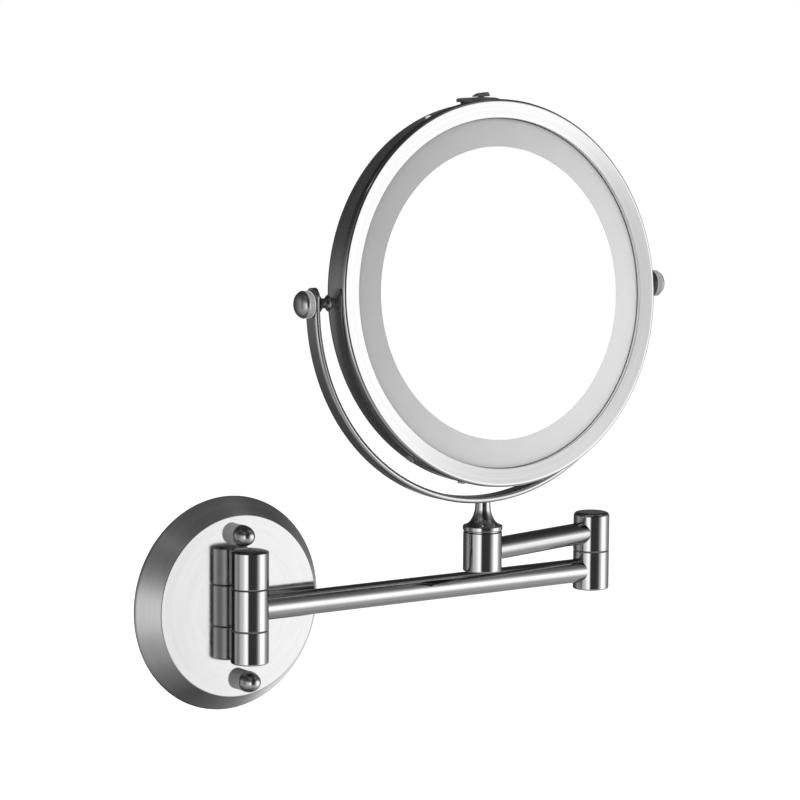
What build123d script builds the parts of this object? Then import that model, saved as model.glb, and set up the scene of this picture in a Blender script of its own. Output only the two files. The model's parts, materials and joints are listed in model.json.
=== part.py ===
"""Extendable shaving mirror: wall plate, two folding arms, swivel yoke and lit round head.

Row frame, in millimetres: the wall is the plane Y = 0 and the mirror stands out towards -Y.
+Z is up, +X is along the first arm. The origin is the centre of the plate's back, on the wall.
"""
from math import cos, radians, sin
import os

from build123d import *

os.makedirs("parts", exist_ok=True)

# ---------------------------------------------------------------- driving dimensions
PLATE_R = 60.5            # wall plate, radius of its widest edge before rounding
PLATE_BACK_R = 55.6       # wall plate, radius where the rolled edge meets the wall
PLATE_FACE_R = 50.5       # wall plate, radius of the flat face
PLATE_D = 18.0            # wall plate, depth off the wall
PLATE_T = 1.6             # wall plate, sheet thickness
PLATE_RIM = 5.2           # wall plate, depth of its widest edge off the wall
NUT_UP = (-6.2, 41.6)     # upper thumb nut, from the plate's centre
NUT_LOW = (-2.2, -39.8)   # lower thumb nut, from the plate's centre
NUT_R = 5.9               # thumb nut, radius over the grip
NUT_GRIP = 12.0           # thumb nut, grip length
NUT_DOME = 9.0            # thumb nut, dome length
STUD_R = 2.5              # M5 studs

BARREL_R = 10.5           # hinge barrels
BARREL_Y = -28.8          # wall hinge axis, distance off the wall
PIN_R = 4.0               # hinge pins
RUN = 0.06                # radial clearance of a running fit
SET = 0.02                # radial clearance of a fixed fit
GAP = 0.3                 # gap between faces that slide past each other
KNUCKLE_H = 11.25         # half height of the first arm's hinge knuckle
KNUCKLE_Z1 = 31.7         # top of the fixed upper knuckle
KNUCKLE_Z0 = -30.1        # bottom of the fixed lower knuckle
WASHER_T = 0.35           # nylon washers between knuckles
CAP_DOME = 1.9            # hinge cap, height of its dome

ARM1_L = 238.0            # first arm, axis to axis
ARM1_R = 7.0              # first arm tube
ARM2_L = 97.6             # second arm, axis to axis
ARM2_R = 6.35             # second arm tube
ARM2_DEG = 192.6          # second arm's heading at rest, from +X towards +Y
ARM2_Z = 22.3             # second arm's height above the first
TUBE_T = 1.2              # tube walls

POST_R = 11.0             # swivel post
POST_Z0 = 11.2            # bottom of the post
POST_Z1 = 33.6            # top of the post
COLLAR_R = 11.3           # lip at the foot of the yoke's neck

PIVOT_Z = 168.3           # height of the tilt axis
YOKE_R = 118.0            # yoke strip, outer radius
YOKE_T = 3.6              # yoke strip, thickness
YOKE_W = 10.6             # yoke strip, width
SCREW_R = 2.0             # pivot screws
KNOB_R = 7.6              # side knobs

TILT_DEG = 5.0            # head's upward tilt at rest
PIVOT_BACK = 17.0         # tilt axis behind the head's reference plane
BEZEL_R = 107.9           # front bezel, outer radius
BEZEL_IN_R = 97.5         # front bezel, opening radius
BAND_R = 106.4            # side band
BAND_D = 19.5             # side band, depth behind the reference plane
GLASS_R = 81.7            # mirror glass
BACK_D = 27.0             # back cover, depth behind the reference plane
CAP_R = 28.6              # battery cap
CAP_Y = -38.0             # battery cap, below the head's centre
BACK_SCREW_R = 85.0       # back cover screws, radius of their circle
CAP_TURN = 35.0           # battery cap, turn from shut to open
CELL_R = 5.25             # battery cell radius
CELL_U = -19.8            # battery cells' axis, behind the reference plane
LED_COUNT = 36            # lamps on the ring board
PIVOT_BLOCK_R = 4.8       # pivot bosses on the head
BLOCK_END = 105.9         # pivot bosses, end face off the centre line
SWITCH_X = -4.0           # switch, sideways offset on top of the band
SWITCH_U = -10.2          # switch, behind the reference plane
SWITCH_L = 25.7           # switch, length of its cover plate
SWITCH_PLATE = (107.0, 109.5)  # switch, underside and top of its cover plate
SWITCH_TRAVEL = 5.0       # switch slider travel
LENS_DEG = 111.5          # indicator lens, round the band from +X
CLIP_DEG = (236.3, 257.2)  # clips that close the band, round the band from +X

# ---------------------------------------------------------------- planes and points
ELBOW = (ARM1_L, BARREL_Y)
POST = (
    ELBOW[0] + ARM2_L * cos(radians(ARM2_DEG)),
    ELBOW[1] + ARM2_L * sin(radians(ARM2_DEG)),
)
WALL = Plane(origin=(0, 0, 0), x_dir=(1, 0, 0), z_dir=(0, -1, 0))
FACE = WALL.offset(PLATE_D)
ARM1_PLANE = Plane(origin=(0, BARREL_Y, 0), x_dir=(0, 1, 0), z_dir=(1, 0, 0))
ARM2_DIR = (cos(radians(ARM2_DEG)), sin(radians(ARM2_DEG)), 0)
ARM2_PLANE = Plane(origin=(ELBOW[0], ELBOW[1], ARM2_Z), x_dir=(0, 0, 1), z_dir=ARM2_DIR)
YOKE = Plane(origin=(POST[0], POST[1], PIVOT_Z), x_dir=(1, 0, 0), z_dir=(0, -1, 0))
TILT = radians(TILT_DEG)
NORMAL = (0, -cos(TILT), sin(TILT))
HEAD = Plane(
    origin=(POST[0], POST[1] + PIVOT_BACK * NORMAL[1], PIVOT_Z + PIVOT_BACK * NORMAL[2]),
    x_dir=(1, 0, 0),
    z_dir=NORMAL,
)
HEAD_AXIS = Axis(HEAD.origin, HEAD.z_dir)
HEAD_SIDE = Plane(origin=HEAD.origin, x_dir=(1, 0, 0), z_dir=HEAD.y_dir * -1)
POST_AXIS = Axis((POST[0], POST[1], 0), (0, 0, 1))
POST_SIDE = Plane(origin=(POST[0], POST[1], 0), x_dir=(1, 0, 0), z_dir=(0, -1, 0))
TILT_AXIS = Axis((POST[0], POST[1], PIVOT_Z), (1, 0, 0))
SPACER_END = YOKE_R - YOKE_T - GAP
PIVOT_SIDE = Plane(origin=YOKE.origin, x_dir=(0, 1, 0), z_dir=(1, 0, 0))
POST_TOP = Plane(origin=YOKE.origin, x_dir=(1, 0, 0), z_dir=(0, 0, 1))
HEAD_ACROSS = Plane(origin=HEAD.origin, x_dir=HEAD.y_dir, z_dir=(1, 0, 0))
LENS_DIR = HEAD.x_dir * cos(radians(LENS_DEG)) + HEAD.y_dir * sin(radians(LENS_DEG))
LENS_PLANE = Plane(origin=HEAD.origin + LENS_DIR * BAND_R - HEAD.z_dir * 10.0, z_dir=LENS_DIR)

# ================================================================ wall mount
with BuildPart() as wall_plate:
    with BuildSketch(Plane.XY) as plate_profile:
        with BuildLine() as plate_line:
            Polyline(
                (PLATE_BACK_R - PLATE_T - 0.6, 0),
                (PLATE_BACK_R, 0),
                (PLATE_R, -PLATE_RIM),
                (PLATE_FACE_R, -PLATE_D),
                (0, -PLATE_D),
                (0, -PLATE_D + PLATE_T),
                (PLATE_FACE_R - 1.0, -PLATE_D + PLATE_T),
                (PLATE_R - PLATE_T - 0.4, -PLATE_RIM),
                close=True,
            )
        make_face()
    revolve(axis=Axis.Y)
    rim_edges = wall_plate.edges().filter_by(GeomType.CIRCLE).filter_by(
        lambda e: abs(e.radius - PLATE_R) < 0.01 and abs(e.center().Y + PLATE_RIM) < 0.01
    )
    fillet(rim_edges, radius=2.2)
    face_edges = wall_plate.edges().filter_by(GeomType.CIRCLE).filter_by(
        lambda e: abs(e.radius - PLATE_FACE_R) < 0.01
    )
    fillet(face_edges, radius=0.5)
    with BuildSketch(FACE) as stud_holes:
        with Locations(NUT_UP, NUT_LOW):
            Circle(STUD_R + 0.3)
    extrude(amount=-3, mode=Mode.SUBTRACT)
    with BuildSketch(FACE) as foot_holes:
        with Locations((0, 16.5), (0, 26.5), (0, -16.5), (0, -26.5)):
            Circle(1.6)
    extrude(amount=-3, mode=Mode.SUBTRACT)
wall_plate.part.label = "wall_plate"
export_step(wall_plate.part, "parts/wall_plate.step")

with BuildPart() as wall_bracket:
    with BuildSketch(WALL) as bracket_outline:
        with Locations((-2.0, 0)):
            RectangleRounded(27, 98, 6)
    extrude(amount=2.5)
    with BuildSketch(WALL) as bracket_holes:
        with Locations((0, 25), (0, -25)):
            Circle(2.6)
        with Locations(NUT_UP, NUT_LOW):
            Circle(STUD_R + SET)
    extrude(amount=2.5, mode=Mode.SUBTRACT)
wall_bracket.part.label = "wall_bracket"
export_step(wall_bracket.part, "parts/wall_bracket.step")

with BuildPart() as mounting_studs:
    with BuildSketch(WALL) as stud_section:
        with Locations(NUT_UP, NUT_LOW):
            Circle(STUD_R)
    extrude(amount=PLATE_D + 13.0)
    stud_tips = mounting_studs.edges().group_by(Axis.Y)[0]
    chamfer(stud_tips, length=0.5)
mounting_studs.part.label = "mounting_studs"
export_step(mounting_studs.part, "parts/mounting_studs.step")

with BuildPart() as stud_flanges:
    with BuildSketch(WALL.offset(2.5)) as flange_section:
        with Locations(NUT_UP, NUT_LOW):
            RegularPolygon(radius=4.6, side_count=6)
            Circle(STUD_R + SET, mode=Mode.SUBTRACT)
    extrude(amount=2.7)
stud_flanges.part.label = "stud_nuts"
export_step(stud_flanges.part, "parts/stud_nuts.step")

# thumb nuts: a knurled grip that runs out into a smooth dome, blind bored for the stud
NUT_BACK = -PLATE_D - GAP
NUT_PROFILE = (
    (STUD_R + RUN, NUT_BACK),
    (NUT_R - 1.1, NUT_BACK),
    (NUT_R - 0.1, NUT_BACK - 1.0),
    (NUT_R, NUT_BACK - NUT_GRIP),
)
with BuildPart() as thumb_nut_upper:
    with BuildSketch(Plane(origin=(NUT_UP[0], 0, NUT_UP[1]))) as nut_upper_profile:
        with BuildLine() as nut_upper_line:
            Polyline(*NUT_PROFILE)
            Spline(
                (NUT_R, NUT_BACK - NUT_GRIP),
                (NUT_R - 1.0, NUT_BACK - NUT_GRIP - 0.58 * NUT_DOME),
                (0, NUT_BACK - NUT_GRIP - NUT_DOME),
                tangents=[(0, -1), (-1, 0)],
            )
            Polyline(
                (0, NUT_BACK - NUT_GRIP - NUT_DOME),
                (0, NUT_BACK - 13.6),
                (STUD_R + RUN, NUT_BACK - 13.6),
                (STUD_R + RUN, NUT_BACK),
            )
        make_face()
    revolve(axis=Axis((NUT_UP[0], 0, NUT_UP[1]), (0, 1, 0)))
thumb_nut_upper.part.label = "thumb_nut_upper"
export_step(thumb_nut_upper.part, "parts/thumb_nut_upper.step")

with BuildPart() as thumb_nut_lower:
    with BuildSketch(Plane(origin=(NUT_LOW[0], 0, NUT_LOW[1]))) as nut_lower_profile:
        with BuildLine() as nut_lower_line:
            Polyline(*NUT_PROFILE)
            Spline(
                (NUT_R, NUT_BACK - NUT_GRIP),
                (NUT_R - 1.0, NUT_BACK - NUT_GRIP - 0.58 * NUT_DOME),
                (0, NUT_BACK - NUT_GRIP - NUT_DOME),
                tangents=[(0, -1), (-1, 0)],
            )
            Polyline(
                (0, NUT_BACK - NUT_GRIP - NUT_DOME),
                (0, NUT_BACK - 13.6),
                (STUD_R + RUN, NUT_BACK - 13.6),
                (STUD_R + RUN, NUT_BACK),
            )
        make_face()
    revolve(axis=Axis((NUT_LOW[0], 0, NUT_LOW[1]), (0, 1, 0)))
thumb_nut_lower.part.label = "thumb_nut_lower"
export_step(thumb_nut_lower.part, "parts/thumb_nut_lower.step")

# fixed knuckles: each has a foot that is screwed to the plate from inside
FIXED_Z0 = KNUCKLE_H + GAP + WASHER_T
with BuildPart() as upper_knuckle:
    with BuildSketch(Plane.XY.offset(FIXED_Z0)) as upper_section:
        with Locations((0, BARREL_Y)):
            Circle(BARREL_R)
        with Locations((0, -PLATE_D - 3)):
            Rectangle(7.6, 6)
    extrude(amount=KNUCKLE_Z1 - FIXED_Z0)
    with BuildSketch(Plane.XY.offset(FIXED_Z0)) as upper_bore:
        with Locations((0, BARREL_Y)):
            Circle(PIN_R + SET)
    extrude(amount=KNUCKLE_Z1 - FIXED_Z0, mode=Mode.SUBTRACT)
    with BuildSketch(FACE) as upper_taps:
        with Locations((0, 16.5), (0, 26.5)):
            Circle(1.5 + SET)
    extrude(amount=5.5, mode=Mode.SUBTRACT)
upper_knuckle.part.label = "upper_knuckle"
export_step(upper_knuckle.part, "parts/upper_knuckle.step")

with BuildPart() as lower_knuckle:
    with BuildSketch(Plane.XY.offset(KNUCKLE_Z0)) as lower_section:
        with Locations((0, BARREL_Y)):
            Circle(BARREL_R)
    extrude(amount=-FIXED_Z0 - KNUCKLE_Z0)
    bottom_edge = lower_knuckle.edges().group_by(Axis.Z)[0]
    fillet(bottom_edge, radius=1.0)
    with BuildSketch(Plane.XY.offset(KNUCKLE_Z0 + 1.1)) as lower_foot:
        with Locations((0, -PLATE_D - 3)):
            Rectangle(7.6, 6)
    extrude(amount=-FIXED_Z0 - KNUCKLE_Z0 - 1.1)
    with BuildSketch(Plane.XY.offset(KNUCKLE_Z0 + 3)) as lower_bore:
        with Locations((0, BARREL_Y)):
            Circle(PIN_R + SET)
    extrude(amount=-FIXED_Z0 - KNUCKLE_Z0, mode=Mode.SUBTRACT)
    with BuildSketch(FACE) as lower_taps:
        with Locations((0, -16.5), (0, -26.5)):
            Circle(1.5 + SET)
    extrude(amount=5.5, mode=Mode.SUBTRACT)
lower_knuckle.part.label = "lower_knuckle"
export_step(lower_knuckle.part, "parts/lower_knuckle.step")

with BuildPart() as knuckle_screws:
    with BuildSketch(FACE.offset(-PLATE_T)) as foot_heads:
        with Locations((0, 16.5), (0, 26.5), (0, -16.5), (0, -26.5)):
            Circle(2.9)
    extrude(amount=-2.0)
    with BuildSketch(FACE.offset(-PLATE_T)) as foot_shanks:
        with Locations((0, 16.5), (0, 26.5), (0, -16.5), (0, -26.5)):
            Circle(1.5)
    extrude(amount=PLATE_T + 5.2)
    with BuildSketch(FACE.offset(-PLATE_T - 2.0)) as foot_recess:
        with Locations((0, 16.5), (0, 26.5), (0, -16.5), (0, -26.5)):
            Rectangle(3.6, 0.8)
            Rectangle(0.8, 3.6)
    extrude(amount=1.0, mode=Mode.SUBTRACT)
knuckle_screws.part.label = "knuckle_screws"
export_step(knuckle_screws.part, "parts/knuckle_screws.step")

with BuildPart() as hinge_pin:
    with BuildSketch(Plane.XY.offset(KNUCKLE_Z0 + 3.2)) as pin_section:
        with Locations((0, BARREL_Y)):
            Circle(PIN_R)
    extrude(amount=KNUCKLE_Z1 - KNUCKLE_Z0 - 3.5)
    chamfer(hinge_pin.edges().group_by(Axis.Z)[0], length=0.5)
hinge_pin.part.label = "hinge_pin"
export_step(hinge_pin.part, "parts/hinge_pin.step")

with BuildPart() as hinge_washers:
    with BuildSketch(Plane.XY.offset(FIXED_Z0 - WASHER_T)) as washer_top:
        with Locations((0, BARREL_Y)):
            Circle(BARREL_R - 0.5)
            Circle(PIN_R + SET, mode=Mode.SUBTRACT)
    extrude(amount=WASHER_T)
    with BuildSketch(Plane.XY.offset(-FIXED_Z0)) as washer_bottom:
        with Locations((0, BARREL_Y)):
            Circle(BARREL_R - 0.5)
            Circle(PIN_R + SET, mode=Mode.SUBTRACT)
    extrude(amount=WASHER_T)
hinge_washers.part.label = "hinge_washers"
export_step(hinge_washers.part, "parts/hinge_washers.step")

with BuildPart() as barrel_cap:
    with BuildSketch(Plane.XZ.offset(-BARREL_Y)) as cap_profile:
        with BuildLine() as cap_line:
            Line((1.32, KNUCKLE_Z1), (BARREL_R, KNUCKLE_Z1))
            Line((BARREL_R, KNUCKLE_Z1), (BARREL_R, KNUCKLE_Z1 + 0.5))
            ThreePointArc(
                (BARREL_R, KNUCKLE_Z1 + 0.5),
                (6.0, KNUCKLE_Z1 + CAP_DOME - 0.45),
                (1.32, KNUCKLE_Z1 + CAP_DOME),
            )
            Line((1.32, KNUCKLE_Z1 + CAP_DOME), (1.32, KNUCKLE_Z1))
        make_face()
    revolve(axis=Axis((0, BARREL_Y, 0), (0, 0, 1)))
barrel_cap.part.label = "barrel_cap"
export_step(barrel_cap.part, "parts/barrel_cap.step")

with BuildPart() as cap_rivet:
    with BuildSketch(Plane.XY.offset(KNUCKLE_Z1)) as rivet_section:
        with Locations((0, BARREL_Y)):
            Circle(1.3)
    extrude(amount=CAP_DOME + 0.3)
    fillet(cap_rivet.edges().group_by(Axis.Z)[-1], radius=0.6)
cap_rivet.part.label = "cap_rivet"
export_step(cap_rivet.part, "parts/cap_rivet.step")

# ================================================================ first arm
with BuildPart() as arm1_knuckle:
    with BuildSketch(Plane.XY.offset(-KNUCKLE_H)) as arm1_knuckle_section:
        with Locations((0, BARREL_Y)):
            Circle(BARREL_R)
            Circle(PIN_R + RUN, mode=Mode.SUBTRACT)
    extrude(amount=2 * KNUCKLE_H)
arm1_knuckle.part.label = "arm1_knuckle"
export_step(arm1_knuckle.part, "parts/arm1_knuckle.step")

with BuildPart() as arm1_tube:
    with BuildSketch(ARM1_PLANE) as arm1_section:
        Circle(ARM1_R)
        Circle(ARM1_R - TUBE_T, mode=Mode.SUBTRACT)
    extrude(amount=ARM1_L)
    with Locations((0, BARREL_Y, 0), (ARM1_L, BARREL_Y, 0)):
        Cylinder(radius=BARREL_R, height=30, mode=Mode.SUBTRACT)
arm1_tube.part.label = "arm1_tube"
export_step(arm1_tube.part, "parts/arm1_tube.step")

with BuildPart() as elbow_lower_knuckle:
    with BuildSketch(Plane.XY.offset(-KNUCKLE_H)) as elbow_low_section:
        with Locations(ELBOW):
            Circle(BARREL_R)
    extrude(amount=2 * KNUCKLE_H - 0.1)
    fillet(elbow_lower_knuckle.edges().group_by(Axis.Z)[0], radius=1.0)
    with BuildSketch(Plane.XY.offset(-KNUCKLE_H + 3.0)) as elbow_low_bore:
        with Locations(ELBOW):
            Circle(PIN_R + SET)
    extrude(amount=2 * KNUCKLE_H, mode=Mode.SUBTRACT)
elbow_lower_knuckle.part.label = "elbow_lower_knuckle"
export_step(elbow_lower_knuckle.part, "parts/elbow_lower_knuckle.step")

ELBOW_SEAM = KNUCKLE_H - 0.1
with BuildPart() as elbow_pin:
    with BuildSketch(Plane.XY.offset(-KNUCKLE_H + 3.1)) as elbow_pin_section:
        with Locations(ELBOW):
            Circle(PIN_R)
    extrude(amount=38.4)
    chamfer(elbow_pin.edges().group_by(Axis.Z)[-1], length=0.5)
elbow_pin.part.label = "elbow_pin"
export_step(elbow_pin.part, "parts/elbow_pin.step")

with BuildPart() as elbow_washer:
    with BuildSketch(Plane.XY.offset(ELBOW_SEAM)) as elbow_washer_section:
        with Locations(ELBOW):
            Circle(BARREL_R - 0.5)
            Circle(PIN_R + SET, mode=Mode.SUBTRACT)
    extrude(amount=WASHER_T)
elbow_washer.part.label = "elbow_washer"
export_step(elbow_washer.part, "parts/elbow_washer.step")

# ================================================================ second arm
ELBOW_Z0 = ELBOW_SEAM + WASHER_T + GAP
ELBOW_Z1 = 31.0
with BuildPart() as elbow_upper_knuckle:
    with BuildSketch(Plane.XY.offset(ELBOW_Z0)) as elbow_up_section:
        with Locations(ELBOW):
            Circle(BARREL_R)
            Circle(PIN_R + RUN, mode=Mode.SUBTRACT)
    extrude(amount=ELBOW_Z1 - ELBOW_Z0)
elbow_upper_knuckle.part.label = "elbow_upper_knuckle"
export_step(elbow_upper_knuckle.part, "parts/elbow_upper_knuckle.step")

with BuildPart() as elbow_cap:
    with BuildSketch(Plane.XY.offset(ELBOW_Z1)) as elbow_cap_section:
        with Locations(ELBOW):
            Circle(BARREL_R)
    extrude(amount=3.0)
    fillet(elbow_cap.edges().group_by(Axis.Z)[-1], radius=2.4)
elbow_cap.part.label = "elbow_cap"
export_step(elbow_cap.part, "parts/elbow_cap.step")

with BuildPart() as arm2_tube:
    with BuildSketch(ARM2_PLANE) as arm2_section:
        Circle(ARM2_R)
        Circle(ARM2_R - TUBE_T, mode=Mode.SUBTRACT)
    extrude(amount=ARM2_L)
    with Locations((ELBOW[0], ELBOW[1], ARM2_Z)):
        Cylinder(radius=BARREL_R, height=30, mode=Mode.SUBTRACT)
    with Locations((POST[0], POST[1], ARM2_Z)):
        Cylinder(radius=POST_R, height=30, mode=Mode.SUBTRACT)
arm2_tube.part.label = "arm2_tube"
export_step(arm2_tube.part, "parts/arm2_tube.step")

with BuildPart() as swivel_post:
    with BuildSketch(Plane.XY.offset(POST_Z0)) as post_section:
        with Locations(POST):
            Circle(POST_R)
    extrude(amount=POST_Z1 - POST_Z0)
    fillet(swivel_post.edges().group_by(Axis.Z)[0], radius=0.8)
    fillet(swivel_post.edges().group_by(Axis.Z)[-1], radius=0.4)
    with BuildSketch(Plane.XY.offset(POST_Z0)) as post_bore:
        with Locations(POST):
            Circle(7.0)
    extrude(amount=POST_Z1 - POST_Z0, mode=Mode.SUBTRACT)
swivel_post.part.label = "swivel_post"
export_step(swivel_post.part, "parts/swivel_post.step")

with BuildPart() as post_bush:
    with BuildSketch(Plane.XY.offset(18.0)) as bush_section:
        with Locations(POST):
            Circle(7.0 - SET)
            Circle(PIN_R + RUN, mode=Mode.SUBTRACT)
    extrude(amount=POST_Z1 - 0.1 - 18.0)
post_bush.part.label = "post_bush"
export_step(post_bush.part, "parts/post_bush.step")

with BuildPart() as post_plug:
    with BuildSketch(Plane.XY.offset(POST_Z0)) as plug_section:
        with Locations(POST):
            Circle(7.0 - SET)
    extrude(amount=2.2)
    chamfer(post_plug.edges().group_by(Axis.Z)[0], length=0.4)
post_plug.part.label = "post_plug"
export_step(post_plug.part, "parts/post_plug.step")

# ================================================================ yoke
with BuildPart() as yoke_neck:
    with BuildSketch(POST_SIDE) as neck_profile:
        with BuildLine() as neck_line:
            Polyline(
                (0, POST_Z1 + GAP),
                (10.4, POST_Z1 + GAP),
                (10.4, POST_Z1 + 0.8),
                (COLLAR_R - 0.5, POST_Z1 + 0.8),
                (COLLAR_R, POST_Z1 + 1.3),
                (COLLAR_R, POST_Z1 + 3.2),
                (COLLAR_R - 0.5, POST_Z1 + 3.7),
                (9.6, POST_Z1 + 3.7),
            )
            Spline(
                (9.6, POST_Z1 + 3.7),
                (7.4, POST_Z1 + 5.7),
                (5.7, POST_Z1 + 8.6),
                (4.6, POST_Z1 + 12.2),
                (4.3, POST_Z1 + 15.6),
                tangents=[(-0.75, 0.66), (0, 1)],
            )
            Polyline(
                (4.3, POST_Z1 + 15.6),
                (4.3, PIVOT_Z - YOKE_R + 2),
                (0, PIVOT_Z - YOKE_R + 2),
                (0, POST_Z1 + GAP),
            )
        make_face()
    revolve(axis=POST_AXIS)
    with Locations(YOKE):
        Cylinder(radius=YOKE_R, height=40, mode=Mode.SUBTRACT)
    with BuildSketch(Plane.XY.offset(POST_Z1 + GAP)) as neck_bore:
        with Locations(POST):
            Circle(PIN_R + SET)
    extrude(amount=5.0, mode=Mode.SUBTRACT)
    with BuildSketch(Plane.XY.offset(42.0)) as neck_tap:
        with Locations(POST):
            Circle(1.5 + SET)
    extrude(amount=12.0, mode=Mode.SUBTRACT)
yoke_neck.part.label = "yoke_neck"
export_step(yoke_neck.part, "parts/yoke_neck.step")

with BuildPart() as yoke_stem:
    with BuildSketch(Plane.XY.offset(17.6)) as stem_section:
        with Locations(POST):
            Circle(PIN_R)
    extrude(amount=POST_Z1 + GAP + 4.9 - 17.6)
    with BuildSketch(Plane.XY.offset(17.6)) as stem_tap:
        with Locations(POST):
            Circle(1.5 + SET)
    extrude(amount=7.5, mode=Mode.SUBTRACT)
yoke_stem.part.label = "yoke_stem"
export_step(yoke_stem.part, "parts/yoke_stem.step")

with BuildPart() as stem_screw:
    with BuildSketch(Plane.XY.offset(15.4)) as stem_head:
        with Locations(POST):
            Circle(6.2)
    extrude(amount=2.2)
    with BuildSketch(Plane.XY.offset(17.6)) as stem_shank:
        with Locations(POST):
            Circle(1.5)
    extrude(amount=7.2)
    with BuildSketch(Plane.XY.offset(15.4)) as stem_recess:
        with Locations(POST):
            Rectangle(5.0, 1.0)
            Rectangle(1.0, 5.0)
    extrude(amount=1.1, mode=Mode.SUBTRACT)
stem_screw.part.label = "stem_screw"
export_step(stem_screw.part, "parts/stem_screw.step")

EAR_TOP = 8.9
STRIP_IN_Z = PIVOT_Z - YOKE_R + YOKE_T
with BuildPart() as yoke_strip:
    with BuildSketch(YOKE) as strip_outline:
        Circle(YOKE_R)
        Circle(YOKE_R - YOKE_T, mode=Mode.SUBTRACT)
        with Locations((0, YOKE_R)):
            Rectangle(2 * YOKE_R + 4, 2 * YOKE_R, mode=Mode.SUBTRACT)
        with Locations((YOKE_R - YOKE_T / 2, EAR_TOP / 2), (-YOKE_R + YOKE_T / 2, EAR_TOP / 2)):
            Rectangle(YOKE_T, EAR_TOP)
    extrude(amount=YOKE_W / 2, both=True)
    ear_corners = yoke_strip.edges().filter_by(Axis.X).group_by(Axis.Z)[-1]
    fillet(ear_corners, radius=YOKE_W / 2 - 0.02)
    with BuildSketch(Plane(origin=YOKE.origin, x_dir=(0, 1, 0), z_dir=(1, 0, 0))) as ear_holes:
        Circle(SCREW_R + RUN)
    extrude(amount=YOKE_R + 2, both=True, mode=Mode.SUBTRACT)
    with BuildSketch(Plane.XY.offset(PIVOT_Z - YOKE_R - 1)) as strip_tap:
        with Locations(POST):
            Circle(1.5 + SET)
    extrude(amount=YOKE_T + 2, mode=Mode.SUBTRACT)
    with Locations((POST[0], POST[1], STRIP_IN_Z - 0.75)):
        Cone(bottom_radius=1.5 + SET, top_radius=3.2, height=1.7, mode=Mode.SUBTRACT)
yoke_strip.part.label = "yoke_strip"
export_step(yoke_strip.part, "parts/yoke_strip.step")

with BuildPart() as yoke_screw:
    with Locations((POST[0], POST[1], STRIP_IN_Z - 0.8)):
        Cone(bottom_radius=1.5, top_radius=3.05, height=1.5)
    with BuildSketch(Plane.XY.offset(42.6)) as yoke_shank:
        with Locations(POST):
            Circle(1.5)
    extrude(amount=STRIP_IN_Z - 1.5 - 42.6)
    with BuildSketch(Plane.XY.offset(STRIP_IN_Z - 1.0)) as yoke_recess:
        with Locations(POST):
            Rectangle(3.4, 0.8)
            Rectangle(0.8, 3.4)
    extrude(amount=2.0, mode=Mode.SUBTRACT)
yoke_screw.part.label = "yoke_screw"
export_step(yoke_screw.part, "parts/yoke_screw.step")

# ================================================================ head: shells
with BuildPart() as rim_band:
    with BuildSketch(HEAD_SIDE) as band_profile:
        with BuildLine() as band_line:
            Line((BAND_R - 1.9, -2.2), (BAND_R, -2.2))
            Line((BAND_R, -2.2), (BAND_R, -BAND_D + 3.5))
            RadiusArc((BAND_R, -BAND_D + 3.5), (BAND_R - 3.5, -BAND_D), 3.5)
            Polyline(
                (BAND_R - 3.5, -BAND_D),
                (99.0, -BAND_D),
                (99.0, -BAND_D + 1.8),
                (BAND_R - 4.0, -BAND_D + 1.8),
                (BAND_R - 1.9, -BAND_D + 4.0),
                (BAND_R - 1.9, -2.2),
            )
        make_face()
    revolve(axis=HEAD_AXIS)
    with BuildSketch(PIVOT_SIDE) as band_pivots:
        Circle(PIVOT_BLOCK_R + 0.05)
    extrude(amount=BEZEL_R, both=True, mode=Mode.SUBTRACT)
    with Locations(HEAD):
        with Locations((SWITCH_X, BAND_R, SWITCH_U)):
            Box(21.1, 8.0, 5.7, mode=Mode.SUBTRACT)
    with BuildSketch(LENS_PLANE) as band_lens_hole:
        Circle(1.5 + SET)
    extrude(amount=4.0, both=True, mode=Mode.SUBTRACT)
rim_band.part.label = "rim_band"
export_step(rim_band.part, "parts/rim_band.step")

with BuildPart() as front_bezel:
    with BuildSketch(HEAD_SIDE) as bezel_profile:
        with BuildLine() as bezel_line:
            Line((BEZEL_IN_R + 0.3, 0.7), (BEZEL_R - 2.0, 0.7))
            RadiusArc((BEZEL_R - 2.0, 0.7), (BEZEL_R, -1.3), 2.0)
            Polyline(
                (BEZEL_R, -1.3),
                (BEZEL_R, -3.2),
                (BAND_R + 0.1, -3.2),
                (BAND_R + 0.1, -2.1),
                (BEZEL_IN_R + 2.0, -2.1),
                (BEZEL_IN_R + 2.0, -2.7),
                (BEZEL_IN_R, -2.7),
                (BEZEL_IN_R, 0.4),
                (BEZEL_IN_R + 0.3, 0.7),
            )
        make_face()
    revolve(axis=HEAD_AXIS)
front_bezel.part.label = "front_bezel"
export_step(front_bezel.part, "parts/front_bezel.step")

with BuildPart() as mirror_glass:
    with BuildSketch(HEAD.offset(-4.9)) as glass_section:
        Circle(GLASS_R)
    extrude(amount=3.0)
mirror_glass.part.label = "mirror_glass"
export_step(mirror_glass.part, "parts/mirror_glass.step")

with BuildPart() as diffuser_ring:
    with BuildSketch(HEAD_SIDE) as diffuser_profile:
        Polygon(
            (GLASS_R + 0.2, -1.9),
            (BEZEL_IN_R - 0.2, -1.9),
            (BEZEL_IN_R - 0.2, -2.8),
            (101.0, -2.8),
            (101.0, -4.9),
            (GLASS_R + 0.2, -4.9),
            align=None,
        )
    revolve(axis=HEAD_AXIS)
diffuser_ring.part.label = "diffuser_ring"
export_step(diffuser_ring.part, "parts/diffuser_ring.step")

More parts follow.
